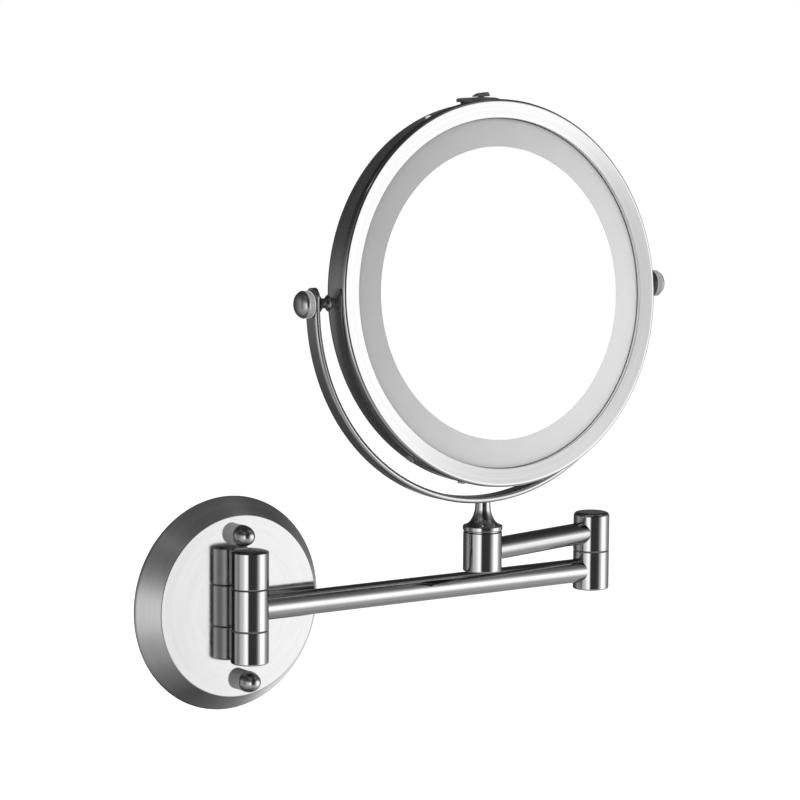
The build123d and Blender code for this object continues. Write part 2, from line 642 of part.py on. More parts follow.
with BuildPart() as carrier_tray:
    with BuildSketch(HEAD_SIDE) as tray_profile:
        Polygon(
            (0, -5.0),
            (80.6, -5.0),
            (80.6, -12.0),
            (99.2, -12.0),
            (99.2, -5.0),
            (103.9, -5.0),
            (103.9, -13.6),
            (78.6, -13.6),
            (78.6, -6.9),
            (0, -6.9),
            align=None,
        )
    revolve(axis=HEAD_AXIS)
    with BuildSketch(HEAD.offset(-13.6)) as tray_posts:
        with PolarLocations(BACK_SCREW_R, 4, start_angle=45):
            Circle(3.2)
    extrude(amount=-11.5)
    with BuildSketch(HEAD.offset(-25.1)) as tray_taps:
        with PolarLocations(BACK_SCREW_R, 4, start_angle=45):
            Circle(1.25 + SET)
    extrude(amount=9.0, mode=Mode.SUBTRACT)
    with BuildSketch(PIVOT_SIDE) as tray_pivots:
        Circle(PIVOT_BLOCK_R + 0.2)
    extrude(amount=BEZEL_R, both=True, mode=Mode.SUBTRACT)
    with Locations(HEAD):
        with Locations((SWITCH_X, BAND_R - 2.0, SWITCH_U)):
            Box(21.5, 9.0, 6.2, mode=Mode.SUBTRACT)
carrier_tray.part.label = "carrier_tray"
export_step(carrier_tray.part, "parts/carrier_tray.step")

with BuildPart() as led_board:
    with BuildSketch(HEAD.offset(-12.0)) as board_section:
        Circle(96.0)
        Circle(84.0, mode=Mode.SUBTRACT)
    extrude(amount=1.4)
led_board.part.label = "led_board"
export_step(led_board.part, "parts/led_board.step")

with BuildPart() as leds:
    with BuildSketch(HEAD.offset(-10.6)) as led_section:
        with PolarLocations(90.0, LED_COUNT):
            Rectangle(2.8, 3.5)
    extrude(amount=0.9)
leds.part.label = "leds"
export_step(leds.part, "parts/leds.step")

with BuildPart() as back_cover:
    with BuildSketch(HEAD_SIDE) as cover_profile:
        Polygon(
            (0, -BACK_D),
            (90.5, -BACK_D),
            (98.8, -BAND_D),
            (98.8, -17.6),
            (96.9, -17.6),
            (96.9, -18.6),
            (89.6, -BACK_D + 1.8),
            (0, -BACK_D + 1.8),
            align=None,
        )
    revolve(axis=HEAD_AXIS)
    with BuildSketch(PIVOT_SIDE) as cover_pivots:
        Circle(PIVOT_BLOCK_R + 0.2)
    extrude(amount=BEZEL_R, both=True, mode=Mode.SUBTRACT)
    with BuildSketch(HEAD.offset(-BACK_D)) as cover_opening:
        with Locations((0, CAP_Y)):
            Circle(CAP_R + GAP)
            with PolarLocations(CAP_R, 2, start_angle=90 + CAP_TURN):
                Rectangle(5.6, 9.0)
    extrude(amount=2.5, mode=Mode.SUBTRACT)
    with BuildSketch(HEAD.offset(-BACK_D)) as cover_holes:
        with PolarLocations(BACK_SCREW_R, 4, start_angle=45):
            Circle(1.5)
    extrude(amount=2.5, mode=Mode.SUBTRACT)
back_cover.part.label = "back_cover"
export_step(back_cover.part, "parts/back_cover.step")

with BuildPart() as back_screws:
    with BuildSketch(HEAD.offset(-BACK_D)) as back_heads:
        with PolarLocations(BACK_SCREW_R, 4, start_angle=45):
            Circle(2.6)
    extrude(amount=-1.4)
    fillet(back_screws.edges().filter_by(lambda e: HEAD.to_local_coords(e).center().Z < -28.3), radius=0.6)
    with BuildSketch(HEAD.offset(-BACK_D)) as back_shanks:
        with PolarLocations(BACK_SCREW_R, 4, start_angle=45):
            Circle(1.25)
    extrude(amount=9.0)
    with BuildSketch(HEAD.offset(-BACK_D - 1.4)) as back_recess:
        with PolarLocations(BACK_SCREW_R, 4, start_angle=45):
            Rectangle(2.6, 0.7)
            Rectangle(0.7, 2.6)
    extrude(amount=0.8, mode=Mode.SUBTRACT)
back_screws.part.label = "back_screws"
export_step(back_screws.part, "parts/back_screws.step")

# ================================================================ head: battery bay and electronics
with BuildPart() as battery_holder:
    with BuildSketch(HEAD.offset(-14.5)) as holder_floor:
        with Locations((0, CAP_Y)):
            Rectangle(53.0, 36.0)
    extrude(amount=1.5)
    with BuildSketch(HEAD.offset(-14.5)) as holder_walls:
        with Locations((0, CAP_Y)):
            Rectangle(53.0, 36.0)
            Rectangle(49.4, 32.6, mode=Mode.SUBTRACT)
    extrude(amount=-8.9)
    with BuildSketch(HEAD.offset(-13.0)) as holder_legs:
        with Locations((0, CAP_Y)):
            with GridLocations(46.0, 29.0, 2, 2):
                Rectangle(6.0, 6.0)
    extrude(amount=6.05)
battery_holder.part.label = "battery_holder"
export_step(battery_holder.part, "parts/battery_holder.step")

with BuildPart() as batteries:
    for row in range(3):
        cell_y = CAP_Y + (row - 1) * 2 * (CELL_R + 0.1)
        flip = -1 if row % 2 else 1
        with BuildSketch(HEAD_ACROSS.offset(-flip * 22.0)) as cell_section:
            with Locations((cell_y, CELL_U)):
                Circle(CELL_R)
        extrude(amount=flip * 43.0)
        with BuildSketch(HEAD_ACROSS.offset(flip * 21.0)) as nub_section:
            with Locations((cell_y, CELL_U)):
                Circle(1.9)
        extrude(amount=flip * 1.1)
batteries.part.label = "batteries"
export_step(batteries.part, "parts/batteries.step")

with BuildPart() as battery_contacts:
    for side in (-1, 1):
        for row in range(3):
            contact_y = CAP_Y + (row - 1) * 2 * (CELL_R + 0.1)
            with BuildSketch(HEAD_ACROSS.offset(side * 24.3)) as contact_section:
                with Locations((contact_y, CELL_U + 0.6)):
                    Rectangle(8.0, 7.0)
            extrude(amount=side * 0.35)
battery_contacts.part.label = "battery_contacts"
export_step(battery_contacts.part, "parts/battery_contacts.step")

with BuildPart() as contact_springs:
    for row in range(3):
        spring_y = CAP_Y + (row - 1) * 2 * (CELL_R + 0.1)
        flip = -1 if row % 2 else 1
        with BuildSketch(HEAD_ACROSS.offset(-flip * 24.25)) as spring_section:
            with Locations((spring_y, CELL_U)):
                Circle(3.0)
                Circle(2.3, mode=Mode.SUBTRACT)
        extrude(amount=flip * 2.2)
contact_springs.part.label = "contact_springs"
export_step(contact_springs.part, "parts/contact_springs.step")

with BuildPart() as driver_board:
    with BuildSketch(HEAD.offset(-9.4)) as driver_section:
        with Locations((0, 34.0)):
            Rectangle(46.0, 26.0)
    extrude(amount=1.4)
    with BuildSketch(HEAD.offset(-8.0)) as driver_legs:
        with Locations((0, 34.0)):
            with GridLocations(40.0, 20.0, 2, 2):
                Circle(2.0)
    extrude(amount=1.05)
driver_board.part.label = "driver_board"
export_step(driver_board.part, "parts/driver_board.step")

with BuildPart() as driver_parts:
    with BuildSketch(HEAD.offset(-9.4)) as chips:
        with Locations((-10.0, 34.0), (2.0, 38.0)):
            Rectangle(7.0, 5.0)
        with Locations((13.0, 30.0)):
            Circle(4.0)
        with Locations((4.0, 28.0), (-16.0, 27.0), (-3.0, 28.0)):
            Rectangle(3.2, 1.8)
    extrude(amount=-2.6)
driver_parts.part.label = "driver_parts"
export_step(driver_parts.part, "parts/driver_parts.step")

with BuildPart() as battery_cap:
    with BuildSketch(HEAD.offset(-BACK_D)) as cap_disc:
        with Locations((0, CAP_Y)):
            Circle(CAP_R)
    extrude(amount=1.4)
    with BuildSketch(HEAD.offset(-BACK_D + 1.4)) as cap_lug_roots:
        with Locations((0, CAP_Y)):
            with PolarLocations(CAP_R - 1.8, 2, start_angle=90):
                Rectangle(2.8, 7.0)
    extrude(amount=1.7)
    with BuildSketch(HEAD.offset(-BACK_D + 2.1)) as cap_lugs:
        with Locations((0, CAP_Y)):
            with PolarLocations(CAP_R - 0.8, 2, start_angle=90):
                Rectangle(4.8, 7.0)
    extrude(amount=1.0)
    with BuildSketch(HEAD.offset(-BACK_D)) as coin_slot:
        with Locations((0, CAP_Y)):
            SlotOverall(20.0, 2.4)
    extrude(amount=0.9, mode=Mode.SUBTRACT)
battery_cap.part.label = "battery_cap"
export_step(battery_cap.part, "parts/battery_cap.step")

# ================================================================ head: pivots
with BuildPart() as pivot_blocks:
    with BuildSketch(PIVOT_SIDE.offset(93.0)) as block_right:
        Circle(PIVOT_BLOCK_R)
        Circle(SCREW_R + SET, mode=Mode.SUBTRACT)
    extrude(amount=BLOCK_END - 93.0)
    with BuildSketch(PIVOT_SIDE.offset(-93.0)) as block_left:
        Circle(PIVOT_BLOCK_R)
        Circle(SCREW_R + SET, mode=Mode.SUBTRACT)
    extrude(amount=-(BLOCK_END - 93.0))
pivot_blocks.part.label = "pivot_blocks"
export_step(pivot_blocks.part, "parts/pivot_blocks.step")

with BuildPart() as pivot_screws:
    for side in (-1, 1):
        with BuildSketch(PIVOT_SIDE.offset(side * 94.0)) as screw_section:
            Circle(SCREW_R)
        extrude(amount=side * 30.4)
pivot_screws.part.label = "pivot_screws"
export_step(pivot_screws.part, "parts/pivot_screws.step")

with BuildPart() as pivot_spacers:
    for side in (-1, 1):
        with BuildSketch(POST_TOP) as spacer_profile:
            with BuildLine() as spacer_line:
                Polyline(
                    (side * BLOCK_END, SCREW_R + SET),
                    (side * BLOCK_END, 4.0),
                    (side * (BLOCK_END + 0.8), 4.0),
                )
                Spline(
                    (side * (BLOCK_END + 0.8), 4.0),
                    (side * (BLOCK_END + 2.8), 2.8),
                    (side * (SPACER_END - 2.2), 3.6),
                    (side * (SPACER_END - 1.0), 5.0),
                )
                Polyline(
                    (side * (SPACER_END - 1.0), 5.0),
                    (side * SPACER_END, 5.0),
                    (side * SPACER_END, SCREW_R + SET),
                    (side * BLOCK_END, SCREW_R + SET),
                )
            make_face()
        revolve(axis=TILT_AXIS)
pivot_spacers.part.label = "pivot_spacers"
export_step(pivot_spacers.part, "parts/pivot_spacers.step")

KNOB_X0 = YOKE_R + GAP
with BuildPart() as knob_right:
    with BuildSketch(POST_TOP) as knob_right_profile:
        with BuildLine() as knob_right_line:
            Polyline(
                (KNOB_X0, SCREW_R + RUN),
                (KNOB_X0, 5.2),
                (KNOB_X0 + 0.6, KNOB_R - 0.4),
                (KNOB_X0 + 1.0, KNOB_R),
                (KNOB_X0 + 4.6, KNOB_R),
            )
            Spline(
                (KNOB_X0 + 4.6, KNOB_R),
                (KNOB_X0 + 7.0, 5.4),
                (KNOB_X0 + 8.2, 0),
                tangents=[(0.85, -0.5), (0, -1)],
            )
            Polyline(
                (KNOB_X0 + 8.2, 0),
                (KNOB_X0 + 6.6, 0),
                (KNOB_X0 + 6.6, SCREW_R + RUN),
                (KNOB_X0, SCREW_R + RUN),
            )
        make_face()
    revolve(axis=TILT_AXIS)
knob_right.part.label = "knob_right"
export_step(knob_right.part, "parts/knob_right.step")

with BuildPart() as knob_left:
    mirror(knob_right.part, about=Plane(origin=YOKE.origin, z_dir=(1, 0, 0)))
knob_left.part.label = "knob_left"
export_step(knob_left.part, "parts/knob_left.step")

# ================================================================ head: switch and small fittings
with BuildPart() as switch_base:
    with BuildSketch(HEAD.offset(SWITCH_U - 3.3)) as switch_plate:
        Polygon(
            (SWITCH_X - SWITCH_L / 2, SWITCH_PLATE[0]),
            (SWITCH_X + SWITCH_L / 2, SWITCH_PLATE[0]),
            (SWITCH_X + SWITCH_L / 2, SWITCH_PLATE[1] - 1.3),
            (SWITCH_X + SWITCH_L / 2 - 3.0, SWITCH_PLATE[1] - 0.5),
            (SWITCH_X, SWITCH_PLATE[1]),
            (SWITCH_X - SWITCH_L / 2 + 0.7, SWITCH_PLATE[1] - 0.3),
            (SWITCH_X - SWITCH_L / 2, SWITCH_PLATE[1] - 0.8),
            align=None,
        )
    extrude(amount=6.6)
    with Locations(HEAD):
        with Locations((SWITCH_X, 105.6, SWITCH_U)):
            Box(21.0, 3.8, 5.6)
    with Locations(HEAD):
        with Locations((SWITCH_X, 106.0, SWITCH_U)):
            Box(SWITCH_TRAVEL + 4.0, 8.0, 2.2, mode=Mode.SUBTRACT)
switch_base.part.label = "switch_base"
export_step(switch_base.part, "parts/switch_base.step")

SLIDE_X = SWITCH_X + SWITCH_TRAVEL / 2 - 0.4
SLIDE_Y = SWITCH_PLATE[1] + GAP
with BuildPart() as switch_slider:
    with BuildSketch(HEAD.offset(SWITCH_U - 2.6)) as slider_profile:
        Polygon(
            (SLIDE_X - 4.7, SLIDE_Y),
            (SLIDE_X + 4.7, SLIDE_Y),
            (SLIDE_X + 3.9, SLIDE_Y + 2.2),
            (SLIDE_X - 1.9, SLIDE_Y + 1.7),
            (SLIDE_X - 4.4, SLIDE_Y + 0.5),
            align=None,
        )
    extrude(amount=5.2)
    fillet(switch_slider.edges().filter_by(Axis(HEAD.origin, HEAD.z_dir)), radius=0.25)
    with Locations(HEAD):
        with Locations((SLIDE_X, SLIDE_Y - 1.9, SWITCH_U)):
            Box(3.0, 4.0, 1.6)
switch_slider.part.label = "switch_slider"
export_step(switch_slider.part, "parts/switch_slider.step")

with BuildPart() as indicator_lens:
    with BuildSketch(LENS_PLANE) as lens_section:
        Circle(1.5)
    extrude(amount=0.6)
    extrude(lens_section.sketch, amount=-2.2)
indicator_lens.part.label = "indicator_lens"
export_step(indicator_lens.part, "parts/indicator_lens.step")

with BuildPart() as rim_clips:
    for clip_deg, clip_u, clip_l in ((CLIP_DEG[0], -13.0, 5.0), (CLIP_DEG[1], -14.6, 4.0)):
        with Locations(HEAD):
            with Locations(Location((0, 0, 0), (0, 0, clip_deg))):
                with Locations((BAND_R + 0.2, 0, clip_u)):
                    Box(1.8, clip_l, 1.6)
    fillet(rim_clips.edges().filter_by(HEAD_AXIS), radius=0.35)
    with Locations(HEAD.offset(-14.0)):
        Cylinder(radius=BAND_R, height=12, mode=Mode.SUBTRACT)
rim_clips.part.label = "rim_clips"
export_step(rim_clips.part, "parts/rim_clips.step")
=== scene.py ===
"""Looks of the extendable shaving mirror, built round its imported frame.

Every size is in millimetres where a field or constant says so and is turned into metres when a
mesh is made. The wall is the plane Y = 0, the mirror stands out towards -Y and +Z is up.
"""

import json
import logging
import math
from dataclasses import dataclass, field
from enum import Enum
from typing import Callable, Optional, Sequence

import bmesh
import bpy
from mathutils import Matrix, Vector


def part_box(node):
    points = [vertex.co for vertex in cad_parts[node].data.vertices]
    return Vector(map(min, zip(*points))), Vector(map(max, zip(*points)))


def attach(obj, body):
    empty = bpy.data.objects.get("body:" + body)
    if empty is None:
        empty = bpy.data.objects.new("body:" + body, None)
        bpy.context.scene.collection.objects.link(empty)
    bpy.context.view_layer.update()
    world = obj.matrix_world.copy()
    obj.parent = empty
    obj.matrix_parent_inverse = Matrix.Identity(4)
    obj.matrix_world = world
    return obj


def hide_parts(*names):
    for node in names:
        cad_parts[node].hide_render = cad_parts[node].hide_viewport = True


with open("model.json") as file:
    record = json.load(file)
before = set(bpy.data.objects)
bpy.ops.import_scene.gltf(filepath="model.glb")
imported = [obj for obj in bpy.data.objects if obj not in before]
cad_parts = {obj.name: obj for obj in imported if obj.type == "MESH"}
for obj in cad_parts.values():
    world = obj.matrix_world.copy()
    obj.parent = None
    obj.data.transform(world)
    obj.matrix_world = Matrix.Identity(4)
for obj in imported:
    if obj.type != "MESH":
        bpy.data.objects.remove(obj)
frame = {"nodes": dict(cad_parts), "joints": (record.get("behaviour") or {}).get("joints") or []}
bpy.context.view_layer.update()

MM = 0.001
LOG = logging.getLogger("shaving_mirror")
Point2 = tuple[float, float]
Corner = tuple[float, float, float]
X_AXIS = Vector((1.0, 0.0, 0.0))
Y_AXIS = Vector((0.0, 1.0, 0.0))
Z_AXIS = Vector((0.0, 0.0, 1.0))
JOINTS = {joint["name"]: joint for joint in frame["joints"]}
PIVOT_BACK = 17.0     # tilt axis behind the head's reference plane, in millimetres
BARREL_FLOOR = 3.0    # floor under a hinge pin's blind bore, in millimetres
KNURL_PITCH = 1.7     # length of one knurled diamond, in millimetres


class Body(Enum):
    """The moving bodies of the frame."""

    WALL_MOUNT = "wall_mount"
    UPPER_NUT = "upper_nut"
    LOWER_NUT = "lower_nut"
    FIRST_ARM = "first_arm"
    SECOND_ARM = "second_arm"
    YOKE = "yoke"
    HEAD = "head"
    LEFT_KNOB = "left_knob"
    RIGHT_KNOB = "right_knob"
    BATTERY_CAP = "battery_cap"
    SWITCH = "switch"


class Slot(Enum):
    """The finishes that the record names."""

    PLATE = "plate_chrome"
    CHROME = "chrome"
    KNOB = "knob_chrome"
    YOKE = "yoke_chrome"
    BAND = "band_metal"
    BEZEL = "bezel_chrome"
    MIRROR = "mirror_glass"
    FROSTED = "frosted"
    COVER = "cover_metal"
    CAP = "cap_metal"
    STEEL = "steel"
    NYLON = "nylon"
    TRAY = "tray_plastic"
    BOARD = "board"
    LED = "led"
    CHIP = "chip"
    CELL = "cell"
    CONTACT = "contact"
    SWITCH = "switch_black"
    LENS = "lens"


class Grain(Enum):
    """Which way the fine lines of a brushed surface run."""

    ROUND = "round"
    ALONG = "along"


# ---------------------------------------------------------------- placing and meshing
@dataclass(frozen=True)
class Datum:
    """A right-handed local frame in the row frame, in metres."""

    origin: Vector
    across: Vector
    up: Vector
    out: Vector

    def at(self, across: float, up: float, out: float) -> Vector:
        """Point at these local distances, given in millimetres."""
        return self.origin + (self.across * across + self.up * up + self.out * out) * MM

    def turn(self) -> Matrix:
        """The frame's rotation as a 3x3 matrix."""
        return Matrix((self.across, self.up, self.out)).transposed()


def upright(x: float, y: float) -> Datum:
    """Frame whose axis is vertical and passes through x, y, given in metres."""
    return Datum(Vector((x, y, 0.0)), X_AXIS, Y_AXIS, Z_AXIS)


def off_wall(x: float, z: float) -> Datum:
    """Frame whose axis points off the wall and passes through x, z, given in metres."""
    return Datum(Vector((x, 0.0, z)), X_AXIS, Z_AXIS, -Y_AXIS)


def joint_place(name: str) -> Vector:
    """Place that a joint's axis passes through, in metres."""
    return Vector(JOINTS[name]["pos_m"])


def middle(node: str) -> Vector:
    """Middle of a CAD node's box, in metres."""
    low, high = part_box(node)
    return (low + high) / 2


def soften(corners: Sequence[Corner], closed: bool = False, steps: int = 5) -> list[Point2]:
    """Rounds the corners of a flat outline.

    Args:
        corners: Points of the outline, each with the radius its corner is rounded to.
        closed: Whether the last point joins the first.
        steps: Runs that one rounded corner is made of.

    Returns:
        The outline's points with each rounded corner as a short arc.
    """
    count = len(corners)
    outline: list[Point2] = []
    for index, (x, y, radius) in enumerate(corners):
        inside = closed or 0 < index < count - 1
        if radius <= 0 or not inside:
            outline.append((x, y))
            continue
        here = Vector((x, y))
        before = Vector(corners[index - 1][:2]) - here
        after = Vector(corners[(index + 1) % count][:2]) - here
        half = before.angle(after) / 2
        reach = min(radius / math.tan(half), before.length * 0.49, after.length * 0.49)
        true_radius = reach * math.tan(half)
        centre = here + (before.normalized() + after.normalized()).normalized() * (
            true_radius / math.sin(half)
        )
        start = here + before.normalized() * reach - centre
        turn = start.angle_signed(here + after.normalized() * reach - centre)
        # A short straight run on each side keeps the shading of the flats flat.
        lead = [min(reach * 0.2, edge.length * 0.49 - reach) for edge in (before, after)]
        if lead[0] > 0.01:
            outline.append(tuple(here + before.normalized() * (reach + lead[0])))
        for step in range(steps + 1):
            share = start.copy()
            share.rotate(Matrix.Rotation(-turn * step / steps, 2))
            outline.append(tuple(centre + share))
        if lead[1] > 0.01:
            outline.append(tuple(here + after.normalized() * (reach + lead[1])))
    return outline


def curve_through(points: Sequence[Point2], steps: int = 6) -> list[Point2]:
    """Smooth line through the given points, ends included.

    Args:
        points: The points that the line passes through.
        steps: Runs between two neighbouring points.

    Returns:
        The points of the smooth line.
    """
    line: list[Point2] = []
    padded = [points[0], *points, points[-1]]
    for a, b, c, d in zip(padded, padded[1:], padded[2:], padded[3:]):
        for step in range(steps):
            t = step / steps
            line.append(
                tuple(
                    0.5
                    * (
                        2 * b[k]
                        + (c[k] - a[k]) * t
                        + (2 * a[k] - 5 * b[k] + 4 * c[k] - d[k]) * t * t
                        + (3 * b[k] - a[k] - 3 * c[k] + d[k]) * t**3
                    )
                    for k in (0, 1)
                )
            )
    line.append(tuple(points[-1]))
    return line


def join_rings(bm: bmesh.types.BMesh, first: list, second: list) -> None:
    """Fills the strip between two rings of vertices.

    Args:
        bm: The mesh in the making.
        first: One ring, or a single vertex on the axis.
        second: The next ring, or a single vertex on the axis.
    """
    count = max(len(first), len(second))
    if len(first) == len(second) == 1:
        return
    for index in range(count):
        after = (index + 1) % count
        if len(first) == 1:
            bm.faces.new((first[0], second[index], second[after]))
        elif len(second) == 1:
            bm.faces.new((first[index], second[0], first[after]))
        else:
            bm.faces.new((first[index], second[index], second[after], first[after]))


def to_object(bm: bmesh.types.BMesh, name: str, sharp_deg: float = 32.0) -> bpy.types.Object:
    """Turns a mesh in the making into an object at the origin.

    Args:
        bm: The mesh in the making, in the row frame; it is freed.
        name: The piece's name.
        sharp_deg: Edges that bend more than this stay crisp.

    Returns:
        The linked object, smooth shaded.
    """
    bmesh.ops.recalc_face_normals(bm, faces=bm.faces)
    mesh = bpy.data.meshes.new(name)
    bm.to_mesh(mesh)
    bm.free()
    mesh.shade_smooth()
    mesh.set_sharp_from_angle(angle=math.radians(sharp_deg))
    piece = bpy.data.objects.new(name, mesh)
    bpy.context.scene.collection.objects.link(piece)
    return piece


def add_lathe(
    bm: bmesh.types.BMesh, profile: Sequence[Point2], datum: Datum, segments: int, closed: bool
) -> None:
    """Adds a turned shell to a mesh in the making.

    Args:
        bm: The mesh in the making.
        profile: Radius and height of each point, in millimetres.
        datum: The frame whose out axis the shell is turned about.
        segments: Faces round the shell.
        closed: Whether the profile is a loop that stays off the axis.
    """
    rings = []
    for radius, height in profile:
        if radius < 1e-6:
            rings.append([bm.verts.new(datum.at(0, 0, height))])
            continue
        ring = []
        for index in range(segments):
            turn = 2 * math.pi * index / segments
            place = datum.at(radius * math.cos(turn), radius * math.sin(turn), height)
            ring.append(bm.verts.new(place))
        rings.append(ring)
    pairs = list(zip(rings, rings[1:]))
    if closed:
        pairs.append((rings[-1], rings[0]))
    for first, second in pairs:
        join_rings(bm, first, second)


def lathe(
    name: str,
    profile: Sequence[Point2],
    datum: Datum,
    segments: int = 144,
    closed: bool = False,
    sharp_deg: float = 32.0,
) -> bpy.types.Object:
    """Makes a turned piece.

    Args:
        name: The piece's name.
        profile: Radius and height of each point, in millimetres.
        datum: The frame whose out axis the piece is turned about.
        segments: Faces round the piece.
        closed: Whether the profile is a loop that stays off the axis.
        sharp_deg: Edges that bend more than this stay crisp.

    Returns:
        The piece.
    """
    bm = bmesh.new()
    add_lathe(bm, profile, datum, segments, closed)
    return to_object(bm, name, sharp_deg)


def add_sweep(bm: bmesh.types.BMesh, sections: Sequence[Sequence[Vector]]) -> None:
    """Adds a shell through a row of sections, shut at both ends.

    Args:
        bm: The mesh in the making.
        sections: Rings of points in the row frame, all with the same count.
    """
    rings = [[bm.verts.new(place) for place in section] for section in sections]
    for first, second in zip(rings, rings[1:]):
        join_rings(bm, first, second)
    bm.faces.new(rings[0][::-1])
    bm.faces.new(rings[-1])


def sweep(
    name: str, sections: Sequence[Sequence[Vector]], sharp_deg: float = 32.0
) -> bpy.types.Object:
    """Makes a piece through a row of sections, shut at both ends."""
    bm = bmesh.new()
    add_sweep(bm, sections)
    return to_object(bm, name, sharp_deg)


def rounded_box(width: float, height: float, radius: float, steps: int = 3) -> list[Point2]:
    """Outline of a rectangle with rounded corners, centred, in millimetres."""
    w, h = width / 2, height / 2
    return soften(
        [(-w, -h, radius), (w, -h, radius), (w, h, radius), (-w, h, radius)], True, steps
    )


# ---------------------------------------------------------------- node trees
class TreeMaker:
    """Builds a node group or fills a material's tree with short calls."""

    def __init__(self, tree: bpy.types.NodeTree) -> None:
        """Keeps the tree that the calls fill."""
        self.tree = tree

    @classmethod
    def group(cls, name: str, kind: str) -> "TreeMaker":
        """Starts a new node group of that kind."""
        return cls(bpy.data.node_groups.new(name, kind))

    def socket(self, name: str, kind: str, way: str = "INPUT", value: object = None) -> str:
        """Adds a named input or output to the group.

        Args:
            name: The socket's name.
            kind: Its type, such as NodeSocketFloat.
            way: INPUT or OUTPUT.
            value: The input's default.

        Returns:
            The socket's identifier.
        """
        made = self.tree.interface.new_socket(name=name, in_out=way, socket_type=kind)
        if value is not None:
            made.default_value = value
        return made.identifier

    def add(self, kind: str, **settings: object) -> bpy.types.Node:
        """Adds a node with these settings."""
        node = self.tree.nodes.new(kind)
        for key, value in settings.items():
            setattr(node, key, value)
        return node

    def set(self, node: bpy.types.Node, **inputs: object) -> bpy.types.Node:
        """Sets a node's inputs; an underscore in a key stands for a space.

        Args:
            node: The node.
            **inputs: A value, or the socket that feeds the input.

        Returns:
            The same node.
        """
        for key, value in inputs.items():
            self.feed(node.inputs[key.replace("_", " ")], value)
        return node

    def feed(self, target: bpy.types.NodeSocket, value: object) -> None:
        """Links a socket into the input, or sets the input's own value."""
        if isinstance(value, bpy.types.NodeSocket):
            self.tree.links.new(value, target)
        else:
            target.default_value = value

    def math(self, operation: str, *values: object, clamp: bool = False) -> bpy.types.NodeSocket:
        """Adds a Math node and returns its result."""
        node = self.add("ShaderNodeMath", operation=operation, use_clamp=clamp)
        for target, value in zip(node.inputs, values):
            self.feed(target, value)
        return node.outputs[0]

    def vector(self, operation: str, *values: object, out: str = "Vector") -> bpy.types.NodeSocket:
        """Adds a Vector Math node and returns the named result."""
        node = self.add("ShaderNodeVectorMath", operation=operation)
        targets = [s for s in node.inputs if s.enabled]
        for target, value in zip(targets, values):
            self.feed(target, value)
        return node.outputs[out]

    def scaled(self, source: bpy.types.NodeSocket, factor: object) -> bpy.types.NodeSocket:
        """Scales a vector by a number."""
        node = self.add("ShaderNodeVectorMath", operation="SCALE")
        self.feed(node.inputs[0], source)
        self.feed(node.inputs["Scale"], factor)
        return node.outputs[0]

    def noise(
        self, place: object, scale: object, detail: float = 3.0, rough: float = 0.55
    ) -> bpy.types.NodeSocket:
        """Adds a noise and returns its value."""
        node = self.add("ShaderNodeTexNoise")
        self.feed(node.inputs["Vector"], place)
        self.feed(node.inputs["Scale"], scale)
        node.inputs["Detail"].default_value = detail
        node.inputs["Roughness"].default_value = rough
        return node.outputs["Fac"]

    def span(
        self, value: object, low: object, high: object, to_low: object = 0.0, to_high: object = 1.0
    ) -> bpy.types.NodeSocket:
        """Maps a value from one range to another, held inside it."""
        node = self.add("ShaderNodeMapRange")
        for target, item in zip(node.inputs, (value, low, high, to_low, to_high)):
            self.feed(target, item)
        return node.outputs["Result"]

    def blend(self, share: object, first: object, second: object) -> bpy.types.NodeSocket:
        """Mixes two colours and returns the result."""
        node = self.add("ShaderNodeMix", data_type="RGBA")
        self.feed(node.inputs["Factor"], share)
        colours = [s for s in node.inputs if s.type == "RGBA"]
        self.feed(colours[0], first)
        self.feed(colours[1], second)
        return next(s for s in node.outputs if s.type == "RGBA")

    def use(self, group: bpy.types.NodeTree, kind: str = "ShaderNodeGroup") -> bpy.types.Node:
        """Places a group as a node."""
        node = self.add(kind)
        node.node_tree = group
        return node


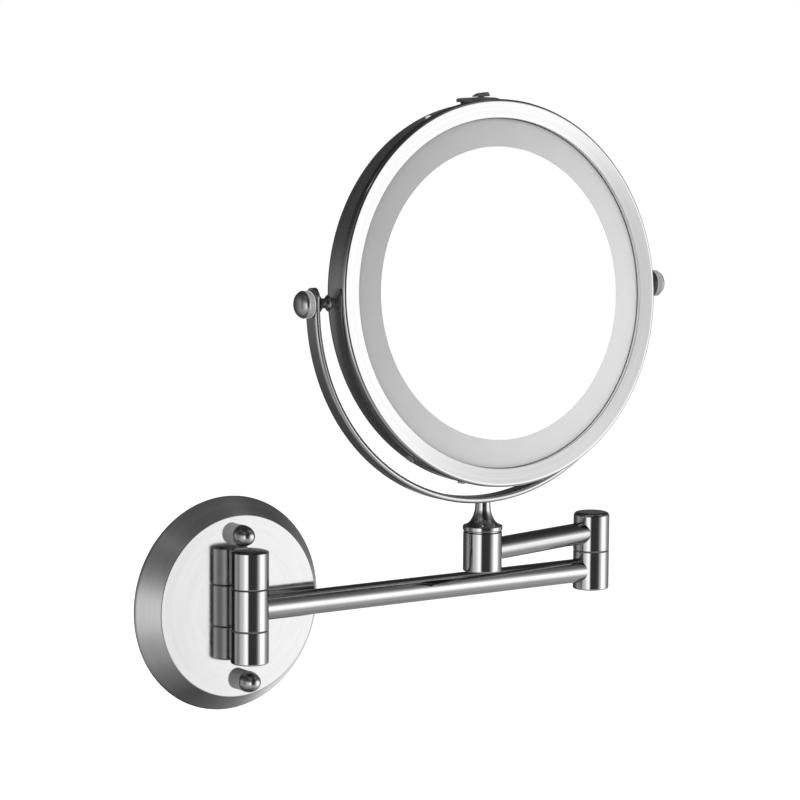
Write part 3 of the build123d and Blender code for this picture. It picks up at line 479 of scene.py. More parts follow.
class Effects:
    """Shader groups that several finishes share, each built once."""

    def __init__(self) -> None:
        """Builds the groups."""
        self.haze = self._haze()
        self.grain = self._grain()
        self.dust = self._dust()
        self.pebble = self._pebble()

    def _haze(self) -> bpy.types.NodeTree:
        """Uneven gloss and hairline marks of a handled, wiped metal."""
        t = TreeMaker.group("wiped_haze", "ShaderNodeTree")
        for name, value in (("Base", 0.06), ("Haze", 0.05), ("Patch Scale", 28.0)):
            t.socket(name, "NodeSocketFloat", value=value)
        t.socket("Roughness", "NodeSocketFloat", "OUTPUT")
        t.socket("Height", "NodeSocketFloat", "OUTPUT")
        t.socket("Shade", "NodeSocketFloat", "OUTPUT")
        source, result = t.add("NodeGroupInput"), t.add("NodeGroupOutput")
        place = t.add("ShaderNodeTexCoord").outputs["Object"]
        patches = t.noise(place, source.outputs["Patch Scale"], 4.0, 0.6)
        stretched = t.vector("MULTIPLY", place, (1.0, 1.6, 0.35))
        wipes = t.noise(stretched, 420.0, 5.0, 0.7)
        fine = t.noise(place, 2600.0, 2.0, 0.5)
        mask = t.span(patches, 0.42, 0.72)
        streak = t.span(wipes, 0.5, 0.78)
        mixed = t.math("ADD", t.math("MULTIPLY", mask, 0.7), t.math("MULTIPLY", streak, 0.3))
        rough = t.math("MULTIPLY_ADD", mixed, source.outputs["Haze"], source.outputs["Base"])
        t.feed(result.inputs["Roughness"], rough)
        t.feed(result.inputs["Height"], t.math("MULTIPLY_ADD", fine, 0.35, wipes))
        t.feed(result.inputs["Shade"], t.math("MULTIPLY_ADD", mixed, -0.06, 1.0))
        return t.tree

    def _grain(self) -> bpy.types.NodeTree:
        """Fine brushed lines that run round an axis or along a direction."""
        t = TreeMaker.group("brushed_grain", "ShaderNodeTree")
        t.socket("Centre", "NodeSocketVector", value=(0.0, 0.0, 0.0))
        t.socket("Axis", "NodeSocketVector", value=(0.0, 0.0, 1.0))
        t.socket("Round", "NodeSocketFloat", value=1.0)
        t.socket("Lines", "NodeSocketFloat", value=2600.0)
        t.socket("Height", "NodeSocketFloat", "OUTPUT")
        t.socket("Shade", "NodeSocketFloat", "OUTPUT")
        source, result = t.add("NodeGroupInput"), t.add("NodeGroupOutput")
        axis, lines = source.outputs["Axis"], source.outputs["Lines"]
        place = t.add("ShaderNodeTexCoord").outputs["Object"]
        local = t.vector("SUBTRACT", place, source.outputs["Centre"])
        along = t.vector("DOT_PRODUCT", local, axis, out="Value")
        radial = t.vector("SUBTRACT", local, t.scaled(axis, along))
        radius = t.vector("LENGTH", radial, out="Value")
        facing = t.scaled(t.vector("NORMALIZE", radial), 5.0)
        ring = t.add("ShaderNodeCombineXYZ")
        t.feed(ring.inputs[0], t.math("MULTIPLY", along, lines))
        t.feed(ring.inputs[1], t.math("MULTIPLY", radius, lines))
        round_place = t.vector("ADD", ring.outputs[0], facing)
        across_place = t.scaled(radial, lines)
        along_place = t.vector("ADD", across_place, t.scaled(axis, t.math("MULTIPLY", along, 40.0)))
        mix = t.add("ShaderNodeMix", data_type="VECTOR")
        t.feed(mix.inputs["Factor"], source.outputs["Round"])
        vectors = [s for s in mix.inputs if s.type == "VECTOR" and s.name in "AB"]
        t.feed(vectors[0], along_place)
        t.feed(vectors[1], round_place)
        chosen = next(s for s in mix.outputs if s.type == "VECTOR")
        fine = t.noise(chosen, 1.0, 3.0, 0.6)
        broad = t.noise(t.scaled(chosen, 0.17), 1.0, 2.0, 0.5)
        both = t.math("MULTIPLY_ADD", broad, 0.5, t.math("MULTIPLY", fine, 0.5))
        t.feed(result.inputs["Height"], both)
        t.feed(result.inputs["Shade"], t.span(both, 0.3, 0.7))
        return t.tree

    def _dust(self) -> bpy.types.NodeTree:
        """Thin dust that settles on what faces up."""
        t = TreeMaker.group("settled_dust", "ShaderNodeTree")
        t.socket("Amount", "NodeSocketFloat", value=0.1)
        t.socket("Mask", "NodeSocketFloat", "OUTPUT")
        source, result = t.add("NodeGroupInput"), t.add("NodeGroupOutput")
        place = t.add("ShaderNodeTexCoord").outputs["Object"]
        normal = t.add("ShaderNodeNewGeometry").outputs["Normal"]
        upward = t.vector("DOT_PRODUCT", normal, (0.0, 0.0, 1.0), out="Value")
        specks = t.span(t.noise(place, 900.0, 4.0, 0.7), 0.45, 0.75)
        settled = t.math("MULTIPLY", t.span(upward, 0.35, 0.95), specks)
        t.feed(result.inputs["Mask"], t.math("MULTIPLY", settled, source.outputs["Amount"]))
        return t.tree

    def _pebble(self) -> bpy.types.NodeTree:
        """Fine moulded texture of a plastic skin."""
        t = TreeMaker.group("moulded_skin", "ShaderNodeTree")
        t.socket("Cells", "NodeSocketFloat", value=1800.0)
        t.socket("Height", "NodeSocketFloat", "OUTPUT")
        t.socket("Shade", "NodeSocketFloat", "OUTPUT")
        source, result = t.add("NodeGroupInput"), t.add("NodeGroupOutput")
        place = t.add("ShaderNodeTexCoord").outputs["Object"]
        cells = t.add("ShaderNodeTexVoronoi", feature="SMOOTH_F1")
        t.feed(cells.inputs["Vector"], place)
        t.feed(cells.inputs["Scale"], source.outputs["Cells"])
        broad = t.noise(place, 60.0, 3.0, 0.5)
        t.feed(result.inputs["Height"], cells.outputs["Distance"])
        t.feed(result.inputs["Shade"], t.span(broad, 0.3, 0.7))
        return t.tree


EFFECTS = Effects()


# ---------------------------------------------------------------- finishes
def new_material(name: str) -> tuple[TreeMaker, bpy.types.Node, bpy.types.Material]:
    """Starts a material with an empty Principled shader.

    Args:
        name: The finish's name.

    Returns:
        The tree maker, the shader node and the material.
    """
    material = bpy.data.materials.new(name)
    material.use_nodes = True
    material.node_tree.nodes.clear()
    t = TreeMaker(material.node_tree)
    shader = t.add("ShaderNodeBsdfPrincipled")
    surface = t.add("ShaderNodeOutputMaterial")
    t.feed(surface.inputs["Surface"], shader.outputs["BSDF"])
    return t, shader, material


def grey(value: float, tint: Sequence[float] = (1.0, 1.0, 1.0)) -> tuple[float, ...]:
    """A near neutral colour with full alpha."""
    return (value * tint[0], value * tint[1], value * tint[2], 1.0)


def bumped(t: TreeMaker, height: object, depth: float) -> bpy.types.NodeSocket:
    """Adds a Bump node of that depth in metres and returns its normal."""
    node = t.add("ShaderNodeBump")
    node.inputs["Strength"].default_value = 1.0
    node.inputs["Distance"].default_value = depth
    t.feed(node.inputs["Height"], height)
    return node.outputs["Normal"]


@dataclass(frozen=True)
class PolishedMetal:
    """Bright plated metal with wiping haze and a breath of dust."""

    name: str
    tone: float = 0.96
    tint: tuple[float, float, float] = (0.995, 0.997, 1.0)
    roughness: float = 0.03
    haze: float = 0.05
    dust: float = 0.05
    relief: float = 0.4e-6

    def build(self) -> bpy.types.Material:
        """Makes the material."""
        t, shader, material = new_material(self.name)
        haze = t.set(t.use(EFFECTS.haze), Base=self.roughness, Haze=self.haze)
        dust = t.set(t.use(EFFECTS.dust), Amount=self.dust)
        dull, bright = grey(self.tone * 0.93, self.tint), grey(self.tone, self.tint)
        plated = t.blend(t.span(haze.outputs["Shade"], 0.94, 1.0), dull, bright)
        colour = t.blend(dust.outputs["Mask"], plated, grey(0.55))
        rough = t.math("MULTIPLY_ADD", dust.outputs["Mask"], 0.5, haze.outputs["Roughness"])
        t.set(shader, Base_Color=colour, Roughness=rough, Metallic=1.0)
        t.set(shader, Normal=bumped(t, haze.outputs["Height"], self.relief))
        return material


@dataclass(frozen=True)
class KnurledMetal:
    """Plated metal whose knurl has painted shade in its grooves and stays bright on its points."""

    name: str
    tone: float = 0.8
    # Grey of the painted shade down in the knurl's grooves.
    painted_groove_shade: float = 0.1
    roughness: float = 0.2
    groove_roughness: float = 0.5
    cut_metallic: float = 0.5

    def build(self) -> bpy.types.Material:
        """Makes the material."""
        t, shader, material = new_material(self.name)
        haze = t.set(t.use(EFFECTS.haze), Base=self.roughness, Haze=0.1)
        dust = t.set(t.use(EFFECTS.dust), Amount=0.06)
        cut = t.add("ShaderNodeAttribute", attribute_name="knurl").outputs["Fac"]
        depth = t.span(cut, 0.25, 0.75)
        # Painted shade: the colour darkens from the points' tone to the groove grey with the cut's
        # depth.
        tone = t.blend(depth, grey(self.tone), grey(self.painted_groove_shade))
        colour = t.blend(dust.outputs["Mask"], tone, grey(0.5))
        worn = t.math("MULTIPLY", depth, self.groove_roughness - self.roughness)
        rough = t.math("ADD", worn, haze.outputs["Roughness"])
        matt = t.span(cut, 0.0, 0.06, 1.0, self.cut_metallic)
        t.set(shader, Base_Color=colour, Roughness=rough, Metallic=matt)
        t.set(shader, Normal=bumped(t, haze.outputs["Height"], 1e-6))
        return material


@dataclass(frozen=True)
class BrushedMetal:
    """Satin metal whose fine lines run round an axis or along it."""

    name: str
    centre: tuple[float, float, float] = (0.0, 0.0, 0.0)
    axis: tuple[float, float, float] = (0.0, 0.0, 1.0)
    grain: Grain = Grain.ROUND
    tone: float = 0.8
    tint: tuple[float, float, float] = (0.99, 0.99, 1.0)
    roughness: float = 0.18
    haze: float = 0.06
    lines: float = 2600.0
    relief: float = 3e-6
    dust: float = 0.08
    metallic: float = 1.0

    def build(self) -> bpy.types.Material:
        """Makes the material."""
        t, shader, material = new_material(self.name)
        haze = t.set(t.use(EFFECTS.haze), Base=self.roughness, Haze=self.haze)
        dust = t.set(t.use(EFFECTS.dust), Amount=self.dust)
        grain = t.use(EFFECTS.grain)
        t.set(grain, Centre=self.centre, Axis=self.axis, Lines=self.lines)
        t.set(grain, Round=1.0 if self.grain is Grain.ROUND else 0.0)
        shade = grain.outputs["Shade"]
        metal = t.blend(shade, grey(self.tone * 0.88, self.tint), grey(self.tone, self.tint))
        colour = t.blend(dust.outputs["Mask"], metal, grey(0.5))
        lined = t.math("MULTIPLY_ADD", shade, 0.05, haze.outputs["Roughness"])
        rough = t.math("MULTIPLY_ADD", dust.outputs["Mask"], 0.4, lined)
        t.set(shader, Base_Color=colour, Roughness=rough, Metallic=self.metallic)
        t.set(shader, Normal=bumped(t, grain.outputs["Height"], self.relief))
        return material


@dataclass(frozen=True)
class SilveredGlass:
    """Front-lit mirror glass, nearly without a flaw."""

    name: str
    smear: float = 0.012

    def build(self) -> bpy.types.Material:
        """Makes the material."""
        t, shader, material = new_material(self.name)
        place = t.add("ShaderNodeTexCoord").outputs["Object"]
        wiped = t.noise(t.vector("MULTIPLY", place, (1.0, 1.0, 2.2)), 24.0, 4.0, 0.6)
        rough = t.span(wiped, 0.35, 0.75, 0.0, self.smear)
        colour = t.blend(t.span(wiped, 0.3, 0.8), grey(0.985), grey(0.96, (0.99, 1.0, 0.995)))
        t.set(shader, Base_Color=colour, Roughness=rough, Metallic=1.0)
        t.set(shader, Coat_Weight=0.4, Coat_Roughness=0.02)
        return material


@dataclass(frozen=True)
class FrostedGlass:
    """Sandblasted ring that the lamps shine through, with painted light in its colour: lighter
    towards +X and darker upward.
    """

    name: str
    centre: tuple[float, float, float]
    across: tuple[float, float, float]
    up: tuple[float, float, float]
    reach: float
    # Base grey, then the painted light's slopes across and up the ring.
    level: float = 0.6
    painted_light_sideways: float = 0.1
    upward: float = -0.05

    def build(self) -> bpy.types.Material:
        """Makes the material."""
        t, shader, material = new_material(self.name)
        place = t.add("ShaderNodeTexCoord").outputs["Object"]
        local = t.vector("SUBTRACT", place, self.centre)
        side = t.vector("DOT_PRODUCT", local, self.across, out="Value")
        rise = t.vector("DOT_PRODUCT", local, self.up, out="Value")
        # Painted light: the grey rises along the across axis and falls upward, over the ring's
        # reach.
        painted_light_gradient = t.math("MULTIPLY_ADD", side, self.painted_light_sideways / self.reach, self.level)
        painted_light_gradient = t.math("MULTIPLY_ADD", rise, self.upward / self.reach, painted_light_gradient)
        cloud = t.noise(place, 55.0, 3.0, 0.5)
        sparkle = t.noise(place, 5200.0, 2.0, 0.6)
        value = t.math("MULTIPLY_ADD", t.math("SUBTRACT", cloud, 0.5), 0.025, painted_light_gradient)
        value = t.math("MULTIPLY_ADD", t.math("SUBTRACT", sparkle, 0.5), 0.03, value)
        colour = t.add("ShaderNodeCombineColor")
        t.set(colour, Red=value, Green=value, Blue=value)
        t.set(shader, Base_Color=colour.outputs[0], Roughness=t.span(cloud, 0.3, 0.7, 0.5, 0.6))
        t.set(shader, Normal=bumped(t, sparkle, 6e-6))
        shader.inputs["Subsurface Weight"].default_value = 0.15
        shader.inputs["Subsurface Radius"].default_value = (0.004, 0.004, 0.004)
        shader.inputs["Specular IOR Level"].default_value = 0.35
        return material


@dataclass(frozen=True)
class MouldedPlastic:
    """Moulded plastic or paper sleeve with a fine skin."""

    name: str
    colour: tuple[float, float, float]
    roughness: float = 0.42
    spread: float = 0.12
    cells: float = 1800.0
    relief: float = 8e-6
    coat: float = 0.0

    def build(self) -> bpy.types.Material:
        """Makes the material."""
        t, shader, material = new_material(self.name)
        skin = t.set(t.use(EFFECTS.pebble), Cells=self.cells)
        dust = t.set(t.use(EFFECTS.dust), Amount=0.12)
        light = (*[c + (1 - c) * 0.05 for c in self.colour], 1.0)
        dark = (*[c * 0.86 for c in self.colour], 1.0)
        base = t.blend(skin.outputs["Shade"], dark, light)
        colour = t.blend(dust.outputs["Mask"], base, grey(0.45))
        rough = t.span(
            skin.outputs["Shade"], 0.0, 1.0, self.roughness, self.roughness + self.spread
        )
        t.set(shader, Base_Color=colour, Roughness=rough)
        t.set(shader, Normal=bumped(t, skin.outputs["Height"], self.relief))
        shader.inputs["Coat Weight"].default_value = self.coat
        return material


@dataclass(frozen=True)
class CircuitBoard:
    """Solder-masked board with a faint glass weave and lighter lands."""

    name: str
    mask: tuple[float, float, float] = (0.75, 0.77, 0.76)
    lands: tuple[float, float, float] = (0.86, 0.8, 0.6)

    def build(self) -> bpy.types.Material:
        """Makes the material."""
        t, shader, material = new_material(self.name)
        place = t.add("ShaderNodeTexCoord").outputs["Object"]
        weave = t.add("ShaderNodeTexWave", wave_type="BANDS", bands_direction="DIAGONAL")
        t.set(weave, Vector=place, Scale=900.0, Distortion=1.0, Detail=2.0)
        lands = t.add("ShaderNodeTexVoronoi", feature="F1")
        t.set(lands, Vector=place, Scale=240.0)
        dots = t.span(lands.outputs["Distance"], 0.12, 0.16, 1.0, 0.0)
        woven = t.blend(weave.outputs["Fac"], (*[c * 0.9 for c in self.mask], 1), (*self.mask, 1))
        t.set(shader, Base_Color=t.blend(dots, woven, (*self.lands, 1.0)))
        t.set(shader, Roughness=t.span(dots, 0.0, 1.0, 0.45, 0.25), Metallic=dots)
        t.set(shader, Normal=bumped(t, weave.outputs["Fac"], 5e-6))
        return material


@dataclass(frozen=True)
class CellSleeve:
    """Shrink sleeve of a dry cell, with a coloured band at the plus end."""

    name: str
    start: float
    body: tuple[float, float, float] = (0.05, 0.05, 0.055)
    band: tuple[float, float, float] = (0.62, 0.36, 0.12)

    def build(self) -> bpy.types.Material:
        """Makes the material."""
        t, shader, material = new_material(self.name)
        haze = t.set(t.use(EFFECTS.haze), Base=0.22, Haze=0.12, Patch_Scale=90.0)
        place = t.add("ShaderNodeTexCoord").outputs["Object"]
        split = t.add("ShaderNodeSeparateXYZ")
        t.feed(split.inputs[0], place)
        share = t.span(split.outputs[0], self.start, self.start + 0.0004)
        t.set(shader, Base_Color=t.blend(share, (*self.body, 1.0), (*self.band, 1.0)))
        t.set(shader, Roughness=haze.outputs["Roughness"])
        t.set(shader, Metallic=t.span(share, 0.0, 1.0, 0.1, 0.6))
        t.set(shader, Normal=bumped(t, haze.outputs["Height"], 1e-6))
        return material


class Palette:
    """Builds each finish once and hands it out."""

    def __init__(self, head: Datum) -> None:
        """Lists the finishes.

        Args:
            head: The head's frame, which the brushed lines and the frosting follow.
        """
        centre, out = tuple(head.origin), tuple(head.out)
        self.makers = {
            "plate_face": BrushedMetal(
                "satin_plate", axis=(0.0, -1.0, 0.0), tone=0.97, roughness=0.09, haze=0.03,
                lines=1500.0, relief=0.6e-6,
            ),
            "plate_rim": BrushedMetal(
                "satin_plate_rim", axis=(0.0, -1.0, 0.0), tone=0.95, roughness=0.28, haze=0.05,
                lines=3000.0, relief=8e-6,
            ),
            "chrome": PolishedMetal("polished_chrome"),
            # Both knurled finishes paint shade into their grooves.
            "grip": KnurledMetal("knurled_nut", tone=0.9, roughness=0.1),
            "knob": KnurledMetal("knurled_knob", tone=0.85, painted_groove_shade=0.2, roughness=0.16),
            "spacer": PolishedMetal("turned_spacer", tone=0.6, roughness=0.14, haze=0.08),
            "yoke": PolishedMetal("yoke_chrome", tone=0.85, roughness=0.09, haze=0.05),
            "band": BrushedMetal(
                "brushed_band", centre, out, tone=0.95, roughness=0.2, lines=2200.0, relief=4e-6
            ),
            "bezel": BrushedMetal(
                "spun_bezel", centre, out, tone=1.0, roughness=0.05, haze=0.02, lines=3600.0,
                relief=0.3e-6,
            ),
            "mirror": SilveredGlass("silvered_glass"),
            # Painted light on the frosted ring: lighter to the right, darker at the top.
            "frosted": FrostedGlass(
                "frosted_ring", centre, tuple(head.across), tuple(head.up), reach=0.09,
                level=0.345, painted_light_sideways=0.082, upward=-0.045,
            ),
            "cover": BrushedMetal(
                "spun_back_cover", centre, out, tone=0.56, roughness=0.3, lines=1800.0,
                metallic=0.5,
            ),
            "cap": BrushedMetal(
                "spun_battery_cap", tuple(middle("battery_cap")), out, tone=0.66,
                roughness=0.24, lines=2400.0, metallic=0.5,
            ),
            "steel": BrushedMetal(
                "drawn_steel", grain=Grain.ALONG, tone=0.6, roughness=0.24, metallic=0.8
            ),
            "bracket": BrushedMetal(
                "rolled_bracket", axis=(0.0, 0.0, 1.0), grain=Grain.ALONG, tone=0.5,
                roughness=0.3, metallic=0.6,
            ),
            "nylon": MouldedPlastic("grey_nylon", (0.12, 0.12, 0.12), 0.45),
            "tray": MouldedPlastic("tray_plastic", (0.82, 0.82, 0.8), 0.5, cells=1100.0),
            "board": CircuitBoard("lamp_board"),
            "lamp": MouldedPlastic("lamp_resin", (0.9, 0.86, 0.55), 0.3, coat=0.4),
            "chip": MouldedPlastic("chip_resin", (0.03, 0.03, 0.032), 0.5, cells=2600.0),
            "cell": CellSleeve("cell_sleeve", middle("batteries").x + 0.012),
            "contact": PolishedMetal("nickel_contact", tone=0.7, roughness=0.15),
            "switch": MouldedPlastic(
                "black_switch", (0.012, 0.012, 0.013), 0.3, cells=2200.0, relief=5e-6
            ),
            "lens": MouldedPlastic(
                "indicator_lens", (0.75, 0.77, 0.78), 0.12, cells=400.0, relief=1e-6, coat=0.6
            ),
        }
        self.built: dict[str, bpy.types.Material] = {}

    def get(self, key: str) -> bpy.types.Material:
        """The finish of that key, built the first time it is asked for."""
        if key not in self.built:
            self.built[key] = self.makers[key].build()
        return self.built[key]


def dress(
    piece: bpy.types.Object,
    body: Body,
    finish: Optional[bpy.types.Material] = None,
    stands_for: Sequence[str] = (),
) -> bpy.types.Object:
    """Gives a piece its finish, its body and its place in the frame.

    Args:
        piece: The finished mesh object.
        body: The CAD body it moves with.
        finish: The material, where the mesh has none yet.
        stands_for: The CAD nodes it is shown instead of.

    Returns:
        The piece.
    """
    if finish is not None:
        piece.data.materials.clear()
        piece.data.materials.append(finish)
    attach(piece, body.value)
    if stands_for:
        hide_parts(*stands_for)
    LOG.info("%s rides on %s, %d faces", piece.name, body.value, len(piece.data.polygons))
    return piece


# ---------------------------------------------------------------- geometry node trees
class GeometryTree:
    """A geometry tree built in code, run on a piece and turned into a plain mesh."""

    def __init__(self, name: str) -> None:
        """Starts the tree with a geometry input and output."""
        self.t = TreeMaker.group(name, "GeometryNodeTree")
        self.t.socket("Geometry", "NodeSocketGeometry", "OUTPUT")
        self.t.socket("Geometry", "NodeSocketGeometry")
        self.keys: dict[str, str] = {}
        self.source = self.t.add("NodeGroupInput")
        self.result = self.t.add("NodeGroupOutput")

    def size(self, name: str, kind: str, value: object = None) -> bpy.types.NodeSocket:
        """Adds a named size to the tree and returns the socket that carries it."""
        self.keys[name] = self.t.socket(name, kind, value=value)
        return self.source.outputs[name]

    def close(self, geometry: bpy.types.NodeSocket) -> None:
        """Ends the tree in Realize Instances and Set Material."""
        material = self.size("Material", "NodeSocketMaterial")
        real = self.t.add("GeometryNodeRealizeInstances")
        self.t.feed(real.inputs[0], geometry)
        painted = self.t.add("GeometryNodeSetMaterial")
        self.t.feed(painted.inputs["Geometry"], real.outputs[0])
        self.t.feed(painted.inputs["Material"], material)
        self.t.feed(self.result.inputs[0], painted.outputs[0])

    def run(self, piece: bpy.types.Object, sharp_deg: float = 32.0, **sizes: object) -> None:
        """Runs the tree on a piece and keeps the plain mesh that comes out.

        Args:
            piece: The object whose mesh goes in and is replaced.
            sharp_deg: Edges that bend more than this stay crisp.
            **sizes: The tree's sizes; an underscore in a key stands for a space.
        """
        modifier = piece.modifiers.new("shape", "NODES")
        modifier.node_group = self.t.tree
        for key, value in sizes.items():
            modifier[self.keys[key.replace("_", " ")]] = value
        bpy.context.view_layer.update()
        graph = bpy.context.evaluated_depsgraph_get()
        mesh = bpy.data.meshes.new_from_object(piece.evaluated_get(graph))
        piece.modifiers.remove(modifier)
        piece.data = mesh
        mesh.name = piece.name
        mesh.shade_smooth()
        mesh.set_sharp_from_angle(angle=math.radians(sharp_deg))


class KnurlTree(GeometryTree):
    """Cuts a diamond knurl into the outer wall of a turned grip."""

    def __init__(self) -> None:
        """Builds the tree."""
        super().__init__("diamond_knurl")
        t = self.t
        centre = self.size("Centre", "NodeSocketVector")
        axis = self.size("Axis", "NodeSocketVector")
        across = self.size("Across", "NodeSocketVector")
        count = self.size("Count", "NodeSocketFloat", 40.0)
        pitch = self.size("Pitch", "NodeSocketFloat", 0.9 * MM)
        depth = self.size("Depth", "NodeSocketFloat", 0.25 * MM)
        start = self.size("From", "NodeSocketFloat")
        end = self.size("To", "NodeSocketFloat")
        least = self.size("Least Radius", "NodeSocketFloat", 4 * MM)
        local = t.vector("SUBTRACT", t.add("GeometryNodeInputPosition").outputs[0], centre)
        along = t.vector("DOT_PRODUCT", local, axis, out="Value")
        radial = t.vector("SUBTRACT", local, t.scaled(axis, along))
        radius = t.vector("LENGTH", radial, out="Value")
        side = t.vector("DOT_PRODUCT", radial, across, out="Value")
        other = t.vector(
            "DOT_PRODUCT", radial, t.vector("CROSS_PRODUCT", axis, across), out="Value"
        )
        turns = t.math("MULTIPLY", t.math("DIVIDE", t.math("ARCTAN2", other, side), math.tau), count)
        climb = t.math("DIVIDE", along, pitch)
        first = t.math("PINGPONG", t.math("ADD", turns, climb), 0.5)
        second = t.math("PINGPONG", t.math("SUBTRACT", turns, climb), 0.5)
        peak = t.math("MULTIPLY", t.math("MINIMUM", first, second), 2.0)
        cut = t.math("SUBTRACT", 1.0, peak)
        fade_in = t.span(t.math("SUBTRACT", along, start), 0.0, 0.4 * MM)
        fade_out = t.span(t.math("SUBTRACT", end, along), 0.0, 0.4 * MM)
        outer = t.math("GREATER_THAN", radius, least)
        share = t.math("MULTIPLY", t.math("MULTIPLY", fade_in, fade_out), outer)
        drop = t.math("MULTIPLY", t.math("MULTIPLY", cut, share), t.math("MULTIPLY", depth, -1.0))
        kept = t.add("GeometryNodeStoreNamedAttribute", data_type="FLOAT", domain="POINT")
        t.feed(kept.inputs["Geometry"], self.source.outputs["Geometry"])
        kept.inputs["Name"].default_value = "knurl"
        t.feed(kept.inputs["Value"], t.math("MULTIPLY", cut, share))
        moved = t.add("GeometryNodeSetPosition")
        t.feed(moved.inputs["Geometry"], kept.outputs[0])
        t.feed(moved.inputs["Offset"], t.scaled(t.vector("NORMALIZE", radial), drop))
        self.close(moved.outputs[0])


class RingTree(GeometryTree):
    """Sets copies of the piece that goes in round a circle."""

    def __init__(self) -> None:
        """Builds the tree."""
        super().__init__("ring_of_pieces")
        t = self.t
        count = self.size("Count", "NodeSocketInt", 4)
        radius = self.size("Radius", "NodeSocketFloat", 0.05)
        first = self.size("First Angle", "NodeSocketFloat", 0.0)
        place = self.size("Place", "NodeSocketVector")
        turn = self.size("Turn", "NodeSocketRotation")
        circle = t.add("GeometryNodeMeshCircle")
        t.set(circle, Vertices=count, Radius=radius)
        spin = t.add("FunctionNodeAxisAngleToRotation")
        spin.inputs["Axis"].default_value = (0.0, 0.0, 1.0)
        step = t.math("DIVIDE", math.tau, count)
        angle = t.math("MULTIPLY", t.add("GeometryNodeInputIndex").outputs[0], step)
        t.feed(spin.inputs["Angle"], angle)
        copies = t.add("GeometryNodeInstanceOnPoints")
        t.set(copies, Points=circle.outputs["Mesh"], Rotation=spin.outputs[0])
        t.feed(copies.inputs["Instance"], self.source.outputs["Geometry"])
        started = t.add("GeometryNodeTransform")
        t.feed(started.inputs["Geometry"], copies.outputs[0])
        offset = t.add("ShaderNodeCombineXYZ")
        t.feed(offset.inputs[2], first)
        t.feed(started.inputs["Rotation"], offset.outputs[0])
        placed = t.add("GeometryNodeTransform")
        t.feed(placed.inputs["Geometry"], started.outputs[0])
        t.feed(placed.inputs["Translation"], place)
        t.feed(placed.inputs["Rotation"], turn)
        self.close(placed.outputs[0])


class RowTree(GeometryTree):
    """Sets copies of the piece that goes in along a straight row."""

    def __init__(self) -> None:
        """Builds the tree."""
        super().__init__("row_of_pieces")
        t = self.t
        count = self.size("Count", "NodeSocketInt", 4)
        start = self.size("Start", "NodeSocketVector")
        step = self.size("Step", "NodeSocketVector")
        line = t.add("GeometryNodeMeshLine", mode="OFFSET")
        t.feed(line.inputs["Count"], count)
        t.feed(line.inputs["Start Location"], start)
        t.feed(line.inputs["Offset"], step)
        copies = t.add("GeometryNodeInstanceOnPoints")
        t.feed(copies.inputs["Points"], line.outputs["Mesh"])
        t.feed(copies.inputs["Instance"], self.source.outputs["Geometry"])
        self.close(copies.outputs[0])


@dataclass
class Workshop:
    """What every sub-assembly needs: the finishes and the geometry trees."""

    palette: Palette
    knurl: KnurlTree = field(default_factory=KnurlTree)
    ring: RingTree = field(default_factory=RingTree)
    row: RowTree = field(default_factory=RowTree)

    def cut_knurl(
        self,
        piece: bpy.types.Object,
        datum: Datum,
        radius: float,
        band: Point2,
        diamonds: int,
        cut: float,
        finish: str,
    ) -> None:
        """Cuts the diamond knurl of a turned grip.

        Args:
            piece: The turned piece.
            datum: The frame it was turned about.
            radius: Radius of the grip, in millimetres.
            band: Where the knurl starts and ends along the axis, in millimetres.
            diamonds: Diamonds round the grip.
            cut: Depth of the grooves, in millimetres.
            finish: The palette's key of its finish.
        """
        self.knurl.run(
            piece,
            40.0,
            Centre=tuple(datum.origin),
            Axis=tuple(datum.out),
            Across=tuple(datum.across),
            Count=float(diamonds),
            Pitch=KNURL_PITCH * MM,
            Depth=cut * MM,
            From=band[0] * MM,
            To=band[1] * MM,
            Least_Radius=(radius - 1) * MM,
            Material=self.palette.get(finish),
        )


def bored_outline(
    radius: float, bore: float, bottom: float, top: float, edges: Point2, bore_edge: float = 0.15
) -> list[Point2]:
    """Closed outline of a barrel that is bored right through, in millimetres.

    Args:
        radius: Outer radius.
        bore: Bore radius.
        bottom: Height of the lower face.
        top: Height of the upper face.
        edges: Radii of the lower and the upper outer edge.
        bore_edge: Radius of both edges of the bore.

    Returns:
        The outline's points.
    """
    return soften(
        [
            (bore, bottom, bore_edge),
            (radius, bottom, edges[0]),
            (radius, top, edges[1]),
            (bore, top, bore_edge),
        ],
        True,
    )


def blind_outline(radius: float, bore: float, bottom: float, top: float) -> list[Point2]:
    """Outline of a barrel that is bored from above and keeps a floor, in millimetres."""
    floor = bottom + BARREL_FLOOR
    return soften(
        [
            (0, bottom, 0),
            (radius, bottom, 0.9),
            (radius, top, 0.3),
            (bore, top, 0.15),
            (bore, floor, 0),
            (0, floor, 0),
        ]
    )


